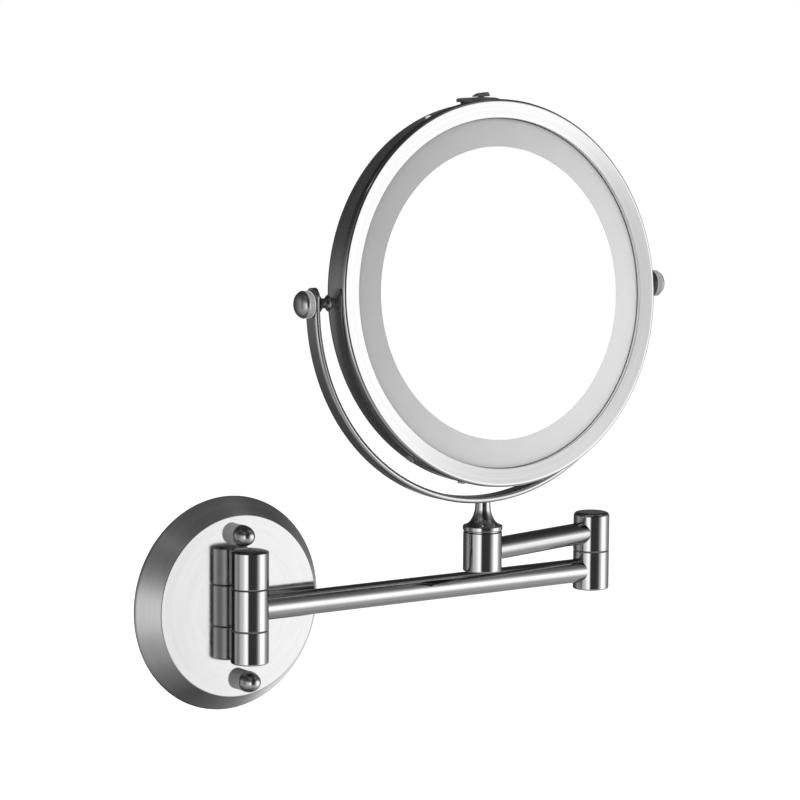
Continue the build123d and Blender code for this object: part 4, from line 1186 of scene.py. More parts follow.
def coped_tube(
    name: str,
    datum: Datum,
    radius: float,
    wall: float,
    length: float,
    near: float,
    far: float,
    segments: int = 96,
) -> bpy.types.Object:
    """Makes a tube whose ends are cut to sit on two upright barrels.

    Args:
        name: The piece's name.
        datum: The tube's frame, with its out axis along the tube from the near barrel's axis.
        radius: Outer radius, in millimetres.
        wall: Wall thickness, in millimetres.
        length: Distance between the barrels' axes, in millimetres.
        near: Radius of the barrel at the near end, in millimetres.
        far: Radius of the barrel at the far end, in millimetres.
        segments: Faces round the tube.

    Returns:
        The piece.
    """

    def ring(r: float, at: Callable[[float], float]) -> list[Vector]:
        """Points of one ring whose place along the tube follows its sideways distance."""
        points = []
        for index in range(segments):
            turn = math.tau * index / segments
            side, rise = r * math.cos(turn), r * math.sin(turn)
            points.append(datum.at(side, rise, at(side)))
        return points

    def cope(barrel: float) -> Callable[[float], float]:
        """How far the barrel's wall stands from its axis at a sideways distance."""
        return lambda side: math.sqrt(max(barrel**2 - side**2, 0.0)) - 0.25

    start, stop, inner = cope(near), cope(far), radius - wall
    bm = bmesh.new()
    loops = [ring(radius, start)]
    loops += [ring(radius, lambda side, s=s: length * s / 8) for s in range(1, 8)]
    loops += [ring(radius, lambda side: length - stop(side))]
    loops += [ring(inner, lambda side: length - stop(side)), ring(inner, start)]
    rings = [[bm.verts.new(place) for place in loop] for loop in loops]
    for first, second in zip(rings, rings[1:] + rings[:1]):
        join_rings(bm, first, second)
    return to_object(bm, name, 40)


# ---------------------------------------------------------------- sub-assemblies
@dataclass
class WallMount:
    """Round wall plate and the fixed halves of the wall hinge."""

    shop: Workshop
    sheet: float = 1.6
    rim_height: float = 5.2
    rim_roll: float = 0.6
    back_radius: float = 55.6
    face_radius: float = 50.5
    bore: float = 4.02
    stud_radius: float = 2.5
    segments: int = 256

    def __post_init__(self) -> None:
        """Reads the plate's and the hinge's places off the frame."""
        low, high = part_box("wall_plate")
        self.radius = (high.x - low.x) / 2 / MM
        self.depth = -low.y / MM
        low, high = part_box("arm1_knuckle")
        self.barrel = (high.x - low.x) / 2 / MM
        self.hinge = upright((low.x + high.x) / 2, (low.y + high.y) / 2)
        self.back = off_wall(0.0, 0.0)

    def plate(self) -> bpy.types.Object:
        """Spun plate: a rolled rim, a sloping skirt and a flat face."""
        sheet, depth, radius = self.sheet, self.depth, self.radius + self.rim_roll
        profile = soften(
            [
                (0, depth - sheet, 0),
                (self.face_radius - 1.0, depth - sheet, 0),
                (radius - sheet - 0.4, self.rim_height, 0),
                (self.back_radius - sheet - 0.6, 0, 0.2),
                (self.back_radius, 0, 0.3),
                (radius, self.rim_height, 2.2),
                (self.face_radius, depth, 0.9),
                (0, depth, 0),
            ],
            steps=8,
        )
        piece = lathe("plate_shell", profile, self.back, self.segments, sharp_deg=60)
        piece.data.materials.append(self.shop.palette.get("plate_rim"))
        piece.data.materials.append(self.shop.palette.get("plate_face"))
        face_y = -(depth - 0.02) * MM
        for polygon in piece.data.polygons:
            if polygon.center.y < face_y:
                polygon.material_index = 1
        return dress(piece, Body.WALL_MOUNT, stands_for=["wall_plate"])

    def foot(self, bm: bmesh.types.BMesh, bottom: float, top: float) -> None:
        """Adds the block that carries a knuckle off the plate.

        Args:
            bm: The mesh in the making.
            bottom: Height of its underside, in millimetres.
            top: Height of its top, in millimetres.
        """
        outline = rounded_box(7.6, top - bottom, 0.5)
        middle_z = (top + bottom) / 2
        add_sweep(
            bm, [[self.back.at(x, z + middle_z, out) for x, z in outline] for out in (18.0, 24.0)]
        )

    def knuckles(self) -> None:
        """Makes the fixed upper and lower knuckles with their feet."""
        chrome = self.shop.palette.get("chrome")
        low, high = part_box("upper_knuckle")
        bottom, top = low.z / MM, high.z / MM
        bm = bmesh.new()
        profile = bored_outline(self.barrel, self.bore, bottom, top, (0.3, 0.2))
        add_lathe(bm, profile, self.hinge, 144, True)
        self.foot(bm, bottom + 0.6, top - 0.6)
        piece = to_object(bm, "upper_hinge_barrel", 40)
        dress(piece, Body.WALL_MOUNT, chrome, ["upper_knuckle"])
        low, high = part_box("lower_knuckle")
        bottom, top = low.z / MM, high.z / MM
        bm = bmesh.new()
        profile = blind_outline(self.barrel, self.bore, bottom, top)
        add_lathe(bm, profile, self.hinge, 144, False)
        self.foot(bm, bottom + 1.4, top - 0.6)
        piece = to_object(bm, "lower_hinge_barrel", 40)
        dress(piece, Body.WALL_MOUNT, chrome, ["lower_knuckle"])

    def cap(self) -> None:
        """Makes the shallow domed cap on top of the hinge."""
        low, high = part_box("barrel_cap")
        bottom, top = low.z / MM, high.z / MM
        rise = top - bottom
        dome = curve_through(
            [
                (self.barrel - 0.15, bottom + 0.35),
                (self.barrel * 0.8, bottom + rise * 0.55),
                (self.barrel * 0.5, bottom + rise * 0.83),
                (1.6, bottom + rise),
            ]
        )
        rim = [(1.32, bottom), (self.barrel - 0.3, bottom), (self.barrel - 0.05, bottom + 0.15)]
        profile = rim + dome + [(1.32, bottom + rise - 0.1)]
        piece = lathe("hinge_cap", profile, self.hinge, closed=True)
        chrome = self.shop.palette.get("chrome")
        dress(piece, Body.WALL_MOUNT, chrome, ["barrel_cap"])

    def studs(self) -> None:
        """Makes the two plain studs that the thumb nuts run on."""
        low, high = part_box("mounting_studs")
        back, tip = -high.y / MM, -low.y / MM
        radius = self.stud_radius
        bm = bmesh.new()
        for nut in ("thumb_nut_upper", "thumb_nut_lower"):
            centre = middle(nut)
            datum = off_wall(centre.x, centre.z)
            end = [(radius, tip - 0.4), (radius - 0.4, tip), (0.0, tip)]
            add_lathe(bm, [(0.0, back), (radius, back), *end], datum, 40, False)
        piece = to_object(bm, "plate_studs")
        # Left out of reflections together with the nuts that cover them.
        piece.visible_glossy = False
        finish = self.shop.palette.get("steel")
        dress(piece, Body.WALL_MOUNT, finish, ["mounting_studs"])

    def build(self) -> None:
        """Makes and dresses every piece."""
        self.plate()
        self.knuckles()
        self.cap()
        self.studs()


@dataclass
class ThumbNut:
    """Knurled thumb nut with a smooth dome, blind bored for its stud."""

    shop: Workshop
    node: str
    body: Body
    grip: float = 12.0
    bore: float = 2.56
    bore_depth: float = 13.6
    diamonds: int = 27
    cut: float = 0.3

    def __post_init__(self) -> None:
        """Reads the nut's place and size off the frame."""
        low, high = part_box(self.node)
        self.radius = (high.x - low.x) / 2 / MM
        self.back = -high.y / MM
        self.tip = -low.y / MM
        self.datum = off_wall((low.x + high.x) / 2, (low.z + high.z) / 2)

    def build(self) -> None:
        """Makes and dresses the nut."""
        back, radius, tip = self.back, self.radius, self.tip
        shoulder = back + self.grip
        rows = 60
        grip = [(radius, back + 0.9 + (self.grip - 1.1) * i / rows) for i in range(rows + 1)]
        dome_rise = tip - shoulder
        dome = [
            (
                radius * math.cos(math.pi / 2 * i / 14) ** 0.75,
                shoulder + 0.25 + (dome_rise - 0.25) * math.sin(math.pi / 2 * i / 14) ** 1.15,
            )
            for i in range(14)
        ]
        profile = (
            [(0.0, back + self.bore_depth), (self.bore, back + self.bore_depth)]
            + [(self.bore, back), (radius - 1.2, back), (radius - 0.25, back + 0.6)]
            + grip
            + [(radius - 0.12, shoulder), *dome, (0.0, tip)]
        )
        piece = lathe(f"{self.node}_turned", profile, self.datum, self.diamonds * 8, sharp_deg=50)
        band = (back + 0.9, shoulder - 0.3)
        self.shop.cut_knurl(piece, self.datum, radius, band, self.diamonds, self.cut, "grip")
        # A choice for the picture: the plate shows the hinge's reflection, not the nuts'.
        piece.visible_glossy = False
        dress(piece, self.body, stands_for=[self.node])


@dataclass
class Arms:
    """The two tubular arms, the elbow and the swivel post."""

    shop: Workshop
    wall: float = 1.2
    bore: float = 4.06
    pin_bore: float = 4.02
    post_bore: float = 7.0

    def __post_init__(self) -> None:
        """Reads the hinges' places off the frame."""
        self.wall_hinge = joint_place("wall_hinge")
        self.elbow = joint_place("elbow_hinge")
        self.post = joint_place("yoke_swivel")

    def radius_of(self, node: str) -> float:
        """Half the width of a round node, in millimetres."""
        low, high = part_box(node)
        return (high.x - low.x) / 2 / MM

    def heights(self, node: str) -> Point2:
        """Bottom and top of a node, in millimetres."""
        low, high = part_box(node)
        return low.z / MM, high.z / MM

    def first_arm(self) -> None:
        """Makes the wall knuckle, the long tube and the elbow's lower barrel."""
        chrome = self.shop.palette.get("chrome")
        barrel = self.radius_of("arm1_knuckle")
        hinge = upright(self.wall_hinge.x, self.wall_hinge.y)
        bottom, top = self.heights("arm1_knuckle")
        profile = bored_outline(barrel, self.bore, bottom, top, (0.3, 0.3))
        piece = lathe("arm_hinge_barrel", profile, hinge, closed=True, sharp_deg=40)
        dress(piece, Body.FIRST_ARM, chrome, ["arm1_knuckle"])
        low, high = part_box("arm1_tube")
        radius = (high.z - low.z) / 2 / MM
        along = Datum(Vector((hinge.origin.x, hinge.origin.y, 0.0)), Y_AXIS, Z_AXIS, X_AXIS)
        length = (self.elbow.x - self.wall_hinge.x) / MM
        piece = coped_tube("long_arm", along, radius, self.wall, length, barrel, barrel)
        dress(piece, Body.FIRST_ARM, chrome, ["arm1_tube"])
        bottom, top = self.heights("elbow_lower_knuckle")
        profile = blind_outline(barrel, self.pin_bore, bottom, top)
        piece = lathe("elbow_lower_barrel", profile, upright(self.elbow.x, self.elbow.y))
        dress(piece, Body.FIRST_ARM, chrome, ["elbow_lower_knuckle"])

    def second_arm(self) -> None:
        """Makes the elbow's upper barrel, the short tube and the post."""
        chrome = self.shop.palette.get("chrome")
        barrel = self.radius_of("elbow_upper_knuckle")
        bottom, seat = self.heights("elbow_upper_knuckle")
        top = self.heights("elbow_cap")[1]
        profile = soften(
            [
                (0, seat, 0),
                (self.bore, seat, 0),
                (self.bore, bottom, 0.15),
                (barrel, bottom, 0.3),
                (barrel, top, 2.4),
                (0, top, 0),
            ],
            steps=8,
        )
        piece = lathe("elbow_upper_barrel", profile, upright(self.elbow.x, self.elbow.y))
        dress(
            piece, Body.SECOND_ARM, chrome, ["elbow_upper_knuckle", "elbow_cap"]
        )
        low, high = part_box("arm2_tube")
        radius, height = (high.z - low.z) / 2 / MM, (high.z + low.z) / 2
        run = Vector((self.post.x - self.elbow.x, self.post.y - self.elbow.y, 0.0))
        out = run.normalized()
        origin = Vector((self.elbow.x, self.elbow.y, height))
        along = Datum(origin, Z_AXIS.cross(out), Z_AXIS, out)
        post = self.radius_of("swivel_post")
        length = run.length / MM
        piece = coped_tube("short_arm", along, radius, self.wall, length, barrel, post)
        dress(piece, Body.SECOND_ARM, chrome, ["arm2_tube"])
        bottom, top = self.heights("swivel_post")
        profile = bored_outline(post, self.post_bore, bottom, top, (0.8, 0.45), 0.2)
        piece = lathe("post_sleeve", profile, upright(self.post.x, self.post.y), closed=True)
        dress(piece, Body.SECOND_ARM, chrome, ["swivel_post"])

    def build(self) -> None:
        """Makes and dresses every piece."""
        self.first_arm()
        self.second_arm()


@dataclass
class Yoke:
    """U-shaped strip that holds the head, on a trumpet-shaped neck."""

    shop: Workshop
    pivot: Vector
    thickness: float = 3.6
    ease: float = 1.5
    neck_bore: float = 4.02

    def __post_init__(self) -> None:
        """Reads the strip's size off the frame."""
        low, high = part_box("yoke_strip")
        self.radius = (high.x - low.x) / 2 / MM
        self.width = (high.y - low.y) / MM
        self.ear = (high.z - self.pivot.z) / MM
        self.datum = Datum(self.pivot.copy(), X_AXIS, Z_AXIS, -Y_AXIS)

    def section(self, place: Point2, inward: Point2, half: float) -> list[Vector]:
        """One section of the strip.

        Args:
            place: Middle of the section in the strip's plane, in millimetres.
            inward: Unit direction towards the inside of the U.
            half: Half the strip's width there, in millimetres.

        Returns:
            The section's points.
        """
        thick = self.thickness / 2
        ease = min(self.ease, half * 0.4)
        outline = soften(
            [
                (-thick, -half, ease),
                (thick, -half, ease),
                (thick, half, ease),
                (-thick, half, ease),
            ],
            True,
            4,
        )
        return [
            self.datum.at(place[0] + inward[0] * a, place[1] + inward[1] * a, b)
            for a, b in outline
        ]

    def strip(self) -> None:
        """Makes the strip with its round-topped ears."""
        mid, half = self.radius - self.thickness / 2, self.width / 2
        base = self.ear - half
        rises = [half * math.sin(math.pi / 2 * i / 12) for i in range(13)]
        ear = [(base + r, max(math.sqrt(max(half**2 - r**2, 0)), 0.35)) for r in rises]
        sections = [self.section((mid, z), (-1.0, 0.0), w) for z, w in reversed(ear)]
        sections += [self.section((mid, base * k / 3), (-1.0, 0.0), half) for k in (2, 1)]
        steps = 120
        for index in range(steps + 1):
            turn = -math.pi * index / steps
            out = (math.cos(turn), math.sin(turn))
            sections.append(
                self.section((mid * out[0], mid * out[1]), (-out[0], -out[1]), half)
            )
        sections += [self.section((-mid, base * k / 3), (1.0, 0.0), half) for k in (1, 2)]
        sections += [self.section((-mid, z), (1.0, 0.0), w) for z, w in ear]
        piece = sweep("yoke_bow", sections, 50)
        finish = self.shop.palette.get("yoke")
        dress(piece, Body.YOKE, finish, ["yoke_strip"])

    def neck(self) -> None:
        """Makes the trumpet neck with its lip."""
        low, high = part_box("yoke_neck")
        bottom, lip = low.z / MM, (high.x - low.x) / 2 / MM
        top = (self.pivot.z / MM - self.radius) + 0.3
        foot = soften(
            [
                (self.neck_bore, bottom, 0),
                (lip - 0.9, bottom, 0),
                (lip - 0.9, bottom + 0.5, 0),
                (lip - 0.4, bottom + 0.5, 0),
                (lip, bottom + 1.0, 0.3),
                (lip, bottom + 2.9, 0.35),
                (lip - 0.6, bottom + 3.4, 0.2),
                (lip - 1.7, bottom + 3.5, 0),
            ]
        )
        trumpet = curve_through(
            [
                (lip - 1.7, bottom + 3.5),
                (7.4, bottom + 5.4),
                (5.7, bottom + 8.3),
                (4.6, bottom + 11.9),
                (4.3, top),
            ]
        )
        bore_top = bottom + 5.0
        profile = [(0.0, bore_top), (self.neck_bore, bore_top)] + foot + trumpet[1:]
        datum = upright(self.pivot.x, self.pivot.y)
        piece = lathe("yoke_trumpet", profile + [(0.0, top)], datum, sharp_deg=28)
        finish = self.shop.palette.get("chrome")
        dress(piece, Body.YOKE, finish, ["yoke_neck"])

    def build(self) -> None:
        """Makes and dresses every piece."""
        self.strip()
        self.neck()


@dataclass
class SideKnob:
    """Knurled side knob with a dome, on the end of a pivot screw."""

    shop: Workshop
    pivot: Vector
    node: str
    body: Body
    side: int
    rim: float = 4.6
    bore: float = 2.06
    diamonds: int = 34
    cut: float = 0.26

    def build(self) -> None:
        """Makes and dresses the knob."""
        low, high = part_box(self.node)
        radius = (high.z - low.z) / 2 / MM
        face = min(abs(low.x - self.pivot.x), abs(high.x - self.pivot.x)) / MM
        tip = max(abs(low.x - self.pivot.x), abs(high.x - self.pivot.x)) / MM
        datum = Datum(self.pivot.copy(), Y_AXIS * self.side, Z_AXIS, X_AXIS * self.side)
        rows = 22
        ring = [
            (radius, face + 1.0 + (self.rim - 1.0) * index / rows) for index in range(rows + 1)
        ]
        rise = tip - face - self.rim
        dome = [
            (
                (radius - 0.35) * math.cos(math.pi / 2 * i / 12) ** 0.8,
                face + self.rim + 0.3 + (rise - 0.3) * math.sin(math.pi / 2 * i / 12) ** 1.1,
            )
            for i in range(12)
        ]
        profile = (
            [(0.0, tip - 1.6), (self.bore, tip - 1.6), (self.bore, face)]
            + [(5.2, face), (radius - 0.5, face + 0.5), (radius - 0.1, face + 0.8)]
            + ring
            + [(radius - 0.15, face + self.rim + 0.2), *dome, (0.0, tip)]
        )
        piece = lathe(f"{self.node}_turned", profile, datum, self.diamonds * 8, sharp_deg=50)
        band = (face + 1.0, face + self.rim)
        self.shop.cut_knurl(piece, datum, radius, band, self.diamonds, self.cut, "knob")
        dress(piece, self.body, stands_for=[self.node])


@dataclass
class Head:
    """Round lit head: band, bezel, mirror, frosted ring, lamps and back."""

    shop: Workshop
    datum: Datum
    pivot: Vector
    band_radius: float = 106.4
    band_depth: float = 19.5
    bezel_radius: float = 107.9
    opening: float = 97.5
    glass: float = 81.7
    dish: float = 0.9
    band_bore: float = 99.0
    lamp_count: int = 36
    lamp_ring: float = 90.0
    lamp_level: float = -10.6
    screw_count: int = 4
    screw_ring: float = 85.0
    screw_turn: float = 45.0
    cover_level: float = -27.0
    spacer_foot: float = 105.9
    spacer_bore: float = 2.02
    segments: int = 320

    def band(self) -> None:
        """Makes the side band with its rolled back edge."""
        radius, depth = self.band_radius, self.band_depth
        profile = soften(
            [
                (radius - 1.9, -2.2, 0),
                (radius, -2.2, 0),
                (radius, -depth, 3.5),
                (self.band_bore, -depth, 0),
                (self.band_bore, -depth + 1.8, 0),
                (radius - 1.9, -depth + 1.8, 2.0),
            ],
            True,
            8,
        )
        piece = lathe("head_band", profile, self.datum, self.segments, True)
        dress(piece, Body.HEAD, self.shop.palette.get("band"), ["rim_band"])

    def bezel(self) -> None:
        """Makes the slightly dished front ring with its rounded outer edge."""
        radius, opening = self.bezel_radius, self.opening
        outer = 0.7 + self.dish / 2
        inner = 0.7 - self.dish / 2
        profile = soften(
            [
                (opening, -2.7, 0),
                (opening, inner, 0.25),
                (radius, outer, 1.5),
                (radius, -3.2, 0.25),
                (self.band_radius + 0.1, -3.2, 0),
                (self.band_radius + 0.1, -2.1, 0),
                (opening + 2.0, -2.1, 0),
                (opening + 2.0, -2.7, 0),
            ],
            True,
            7,
        )
        piece = lathe("front_ring", profile, self.datum, self.segments, True, 38)
        dress(piece, Body.HEAD, self.shop.palette.get("bezel"), ["front_bezel"])

    def mirror(self) -> None:
        """Makes the mirror glass with a ground edge."""
        radius = self.glass
        profile = soften(
            [
                (0, -4.9, 0),
                (radius, -4.9, 0.15),
                (radius, -1.94, 0),
                (radius - 0.06, -1.9, 0),
                (0, -1.9, 0),
            ]
        )
        piece = lathe("mirror_disc", profile, self.datum, self.segments, sharp_deg=10)
        dress(piece, Body.HEAD, self.shop.palette.get("mirror"), ["mirror_glass"])

    def frosted_ring(self) -> None:
        """Makes the frosted ring round the mirror."""
        radius, opening = self.glass + 0.02, self.opening - 0.2
        profile = soften(
            [
                (radius, -1.93, 0),
                (opening, -2.1, 0.2),
                (opening, -2.8, 0),
                (101.0, -2.8, 0),
                (101.0, -4.9, 0),
                (radius, -4.9, 0),
            ],
            True,
            3,
        )
        piece = lathe("frosted_ring", profile, self.datum, self.segments, True)
        finish = self.shop.palette.get("frosted")
        dress(piece, Body.HEAD, finish, ["diffuser_ring"])

    def flat(self, level: float) -> dict[str, object]:
        """The Place and Turn of a ring that lies parallel to the mirror."""
        return {
            "Place": tuple(self.datum.at(0, 0, level)),
            "Turn": self.datum.turn().to_euler(),
        }

    def lamps(self) -> None:
        """Makes the ring of lamps on the ring-shaped board."""
        origin = upright(0.0, 0.0)
        bm = bmesh.new()
        base = rounded_box(2.8, 3.5, 0.3, 2)
        top = rounded_box(2.5, 3.2, 0.4, 2)
        levels = ((base, 0.0), (base, 0.6), (top, 0.72))
        add_sweep(bm, [[origin.at(x, y, z) for x, y in line] for line, z in levels])
        dome = [(1.05, 0.6), (1.05, 0.74), (0.8, 0.84), (0.45, 0.89), (0.0, 0.9)]
        add_lathe(bm, [(0.0, 0.6), *dome], origin, 12, False)
        piece = to_object(bm, "lamp_ring")
        self.shop.ring.run(
            piece,
            Count=self.lamp_count,
            Radius=self.lamp_ring * MM,
            First_Angle=0.0,
            Material=self.shop.palette.get("lamp"),
            **self.flat(self.lamp_level),
        )
        dress(piece, Body.HEAD, stands_for=["leds"])

    def cover_screws(self) -> None:
        """Makes the four pan head screws of the back cover."""
        origin = upright(0.0, 0.0)
        bm = bmesh.new()
        head = soften(
            [(0, -0.5, 0), (0.75, -0.75, 0), (1.0, -1.4, 0), (2.6, -1.4, 0.6), (2.6, 0, 0.1)]
        )
        shank = [(1.25, 0.0), (1.25, 8.4), (0.7, 9.0), (0.0, 9.0)]
        add_lathe(bm, head + shank, origin, 32, False)
        piece = to_object(bm, "cover_screws")
        self.shop.ring.run(
            piece,
            Count=self.screw_count,
            Radius=self.screw_ring * MM,
            First_Angle=math.radians(self.screw_turn),
            Material=self.shop.palette.get("steel"),
            **self.flat(self.cover_level),
        )
        dress(piece, Body.HEAD, stands_for=["back_screws"])

    def spacers(self) -> None:
        """Makes the waisted spacers between the head and the yoke's ears."""
        far = (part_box("pivot_spacers")[1].x - self.pivot.x) / MM
        near, bore = self.spacer_foot, self.spacer_bore
        bm = bmesh.new()
        for side in (-1, 1):
            datum = Datum(self.pivot.copy(), Y_AXIS * side, Z_AXIS, X_AXIS * side)
            waist = curve_through(
                [(4.0, near + 0.8), (2.8, near + 2.8), (3.6, far - 2.2), (5.0, far - 1.0)]
            )
            profile = [(bore, near), (4.0, near), *waist, (5.0, far), (bore, far)]
            add_lathe(bm, profile, datum, 64, True)
        piece = to_object(bm, "waisted_spacers", 40)
        finish = self.shop.palette.get("spacer")
        dress(piece, Body.HEAD, finish, ["pivot_spacers"])

    def build(self) -> None:
        """Makes and dresses every piece."""
        self.band()
        self.bezel()
        self.mirror()
        self.frosted_ring()
        self.lamps()
        self.cover_screws()
        self.spacers()


@dataclass
class SlideSwitch:
    """Black slide switch on top of the band."""

    shop: Workshop
    datum: Datum
    middle_x: float = -4.0
    middle_u: float = -10.2
    length: float = 25.7
    width: float = 6.6
    plate: Point2 = (107.0, 109.5)
    ribs: int = 5

    def cover(self) -> None:
        """Makes the cover plate and the body under it."""
        low, top = self.plate
        left, right = self.middle_x - self.length / 2, self.middle_x + self.length / 2
        outline = soften(
            [
                (left, low + 0.05, 0.2),
                (right, low + 0.05, 0.2),
                (right, top - 1.3, 0.4),
                (right - 3.0, top - 0.5, 3.0),
                (self.middle_x, top, 20.0),
                (left + 0.7, top - 0.3, 0.8),
                (left, top - 0.8, 0.4),
            ],
            True,
            4,
        )
        half = self.width / 2
        bm = bmesh.new()
        sections = []
        for u, inset in ((-half, 0.3), (-half + 0.3, 0), (half - 0.3, 0), (half, 0.3)):
            sections.append(
                [
                    self.datum.at(
                        x + inset * (1 if x < self.middle_x else -1),
                        max(y - (inset if y > low + 0.4 else 0), low),
                        self.middle_u + u,
                    )
                    for x, y in outline
                ]
            )
        add_sweep(bm, sections)
        outline = rounded_box(20.9, 5.5, 0.3)
        add_sweep(
            bm,
            [
                [self.datum.at(self.middle_x + a, y, self.middle_u + b) for a, b in outline]
                for y in (103.8, 107.3)
            ],
        )
        piece = to_object(bm, "switch_cover", 40)
        dress(piece, Body.HEAD, self.shop.palette.get("switch"), ["switch_base"])

    def thumb(self) -> None:
        """Makes the sliding thumb piece with its finger ribs."""
        low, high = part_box("switch_slider")
        centre = (low.x + high.x) / 2 / MM - self.datum.origin.x / MM
        foot = self.plate[1] + 0.3
        bm = bmesh.new()
        outline = soften(
            [
                (centre - 4.6, foot, 0.2),
                (centre + 4.6, foot, 0.2),
                (centre + 3.8, foot + 2.2, 0.4),
                (centre - 1.9, foot + 1.7, 1.2),
                (centre - 4.3, foot + 0.5, 0.25),
            ],
            True,
            4,
        )
        middle_y = foot + 1.0
        levels = ((-2.6, 0.93), (-2.35, 1.0), (2.35, 1.0), (2.6, 0.93))
        add_sweep(
            bm,
            [
                [
                    self.datum.at(
                        centre + (x - centre) * k, middle_y + (y - middle_y) * k, self.middle_u + u
                    )
                    for x, y in outline
                ]
                for u, k in levels
            ],
        )
        stem = rounded_box(3.0, 1.6, 0.2)
        add_sweep(
            bm,
            [
                [self.datum.at(centre + a, y, self.middle_u + b) for a, b in stem]
                for y in (105.4, foot + 0.4)
            ],
        )
        piece = to_object(bm, "switch_thumb", 40)
        finish = self.shop.palette.get("switch")
        dress(piece, Body.SWITCH, finish, ["switch_slider"])
        rib = rounded_box(0.5, 0.5, 0.15, 2)
        bm = bmesh.new()
        ends = (-2.1, 2.1)
        add_sweep(
            bm,
            [
                [self.datum.at(a, b, u) - self.datum.origin for a, b in rib]
                for u in ends
            ],
        )
        ribs = to_object(bm, "thumb_ribs")
        start = self.datum.at(centre - 1.2, foot + 1.75, self.middle_u)
        step = self.datum.at(1.05, 0.092, 0) - self.datum.origin
        self.shop.row.run(
            ribs, Count=self.ribs, Start=tuple(start), Step=tuple(step), Material=finish
        )
        dress(ribs, Body.SWITCH)

    def build(self) -> None:
        """Makes and dresses every piece."""
        self.cover()
        self.thumb()


@dataclass
class InnerParts:
    """CAD nodes whose shape is kept, each with its own finish."""

    shop: Workshop
    finishes: dict[str, str] = field(
        default_factory=lambda: {
            "wall_bracket": "bracket",
            "stud_nuts": "steel",
            "knuckle_screws": "steel",
            "hinge_pin": "steel",
            "hinge_washers": "nylon",
            "cap_rivet": "chrome",
            "elbow_pin": "steel",
            "elbow_washer": "nylon",
            "post_bush": "nylon",
            "post_plug": "nylon",
            "yoke_stem": "steel",
            "stem_screw": "steel",
            "yoke_screw": "steel",
            "carrier_tray": "tray",
            "led_board": "board",
            "back_cover": "cover",
            "battery_holder": "tray",
            "batteries": "cell",
            "battery_contacts": "contact",
            "contact_springs": "contact",
            "driver_board": "board",
            "driver_parts": "chip",
            "battery_cap": "cap",
            "pivot_blocks": "steel",
            "pivot_screws": "steel",
            "indicator_lens": "lens",
            "rim_clips": "steel",
        }
    )

    def build(self) -> None:
        """Gives each kept node its finish and reports any that was forgotten."""
        for name, key in self.finishes.items():
            node = frame["nodes"][name]
            for place in node.material_slots:
                place.material = self.shop.palette.get(key)
            LOG.info("%s keeps its shape, finish %s", name, key)
        shown = {n for n, o in frame["nodes"].items() if not o.hide_render}
        for name in sorted(shown - set(self.finishes)):
            LOG.warning("%s has no finish of its own", name)


# ---------------------------------------------------------------- studio
def tone_stop(value: float) -> float:
    """Light level of a displayed grey between 0 and 255."""
    return (value / 255.0) ** 2.2


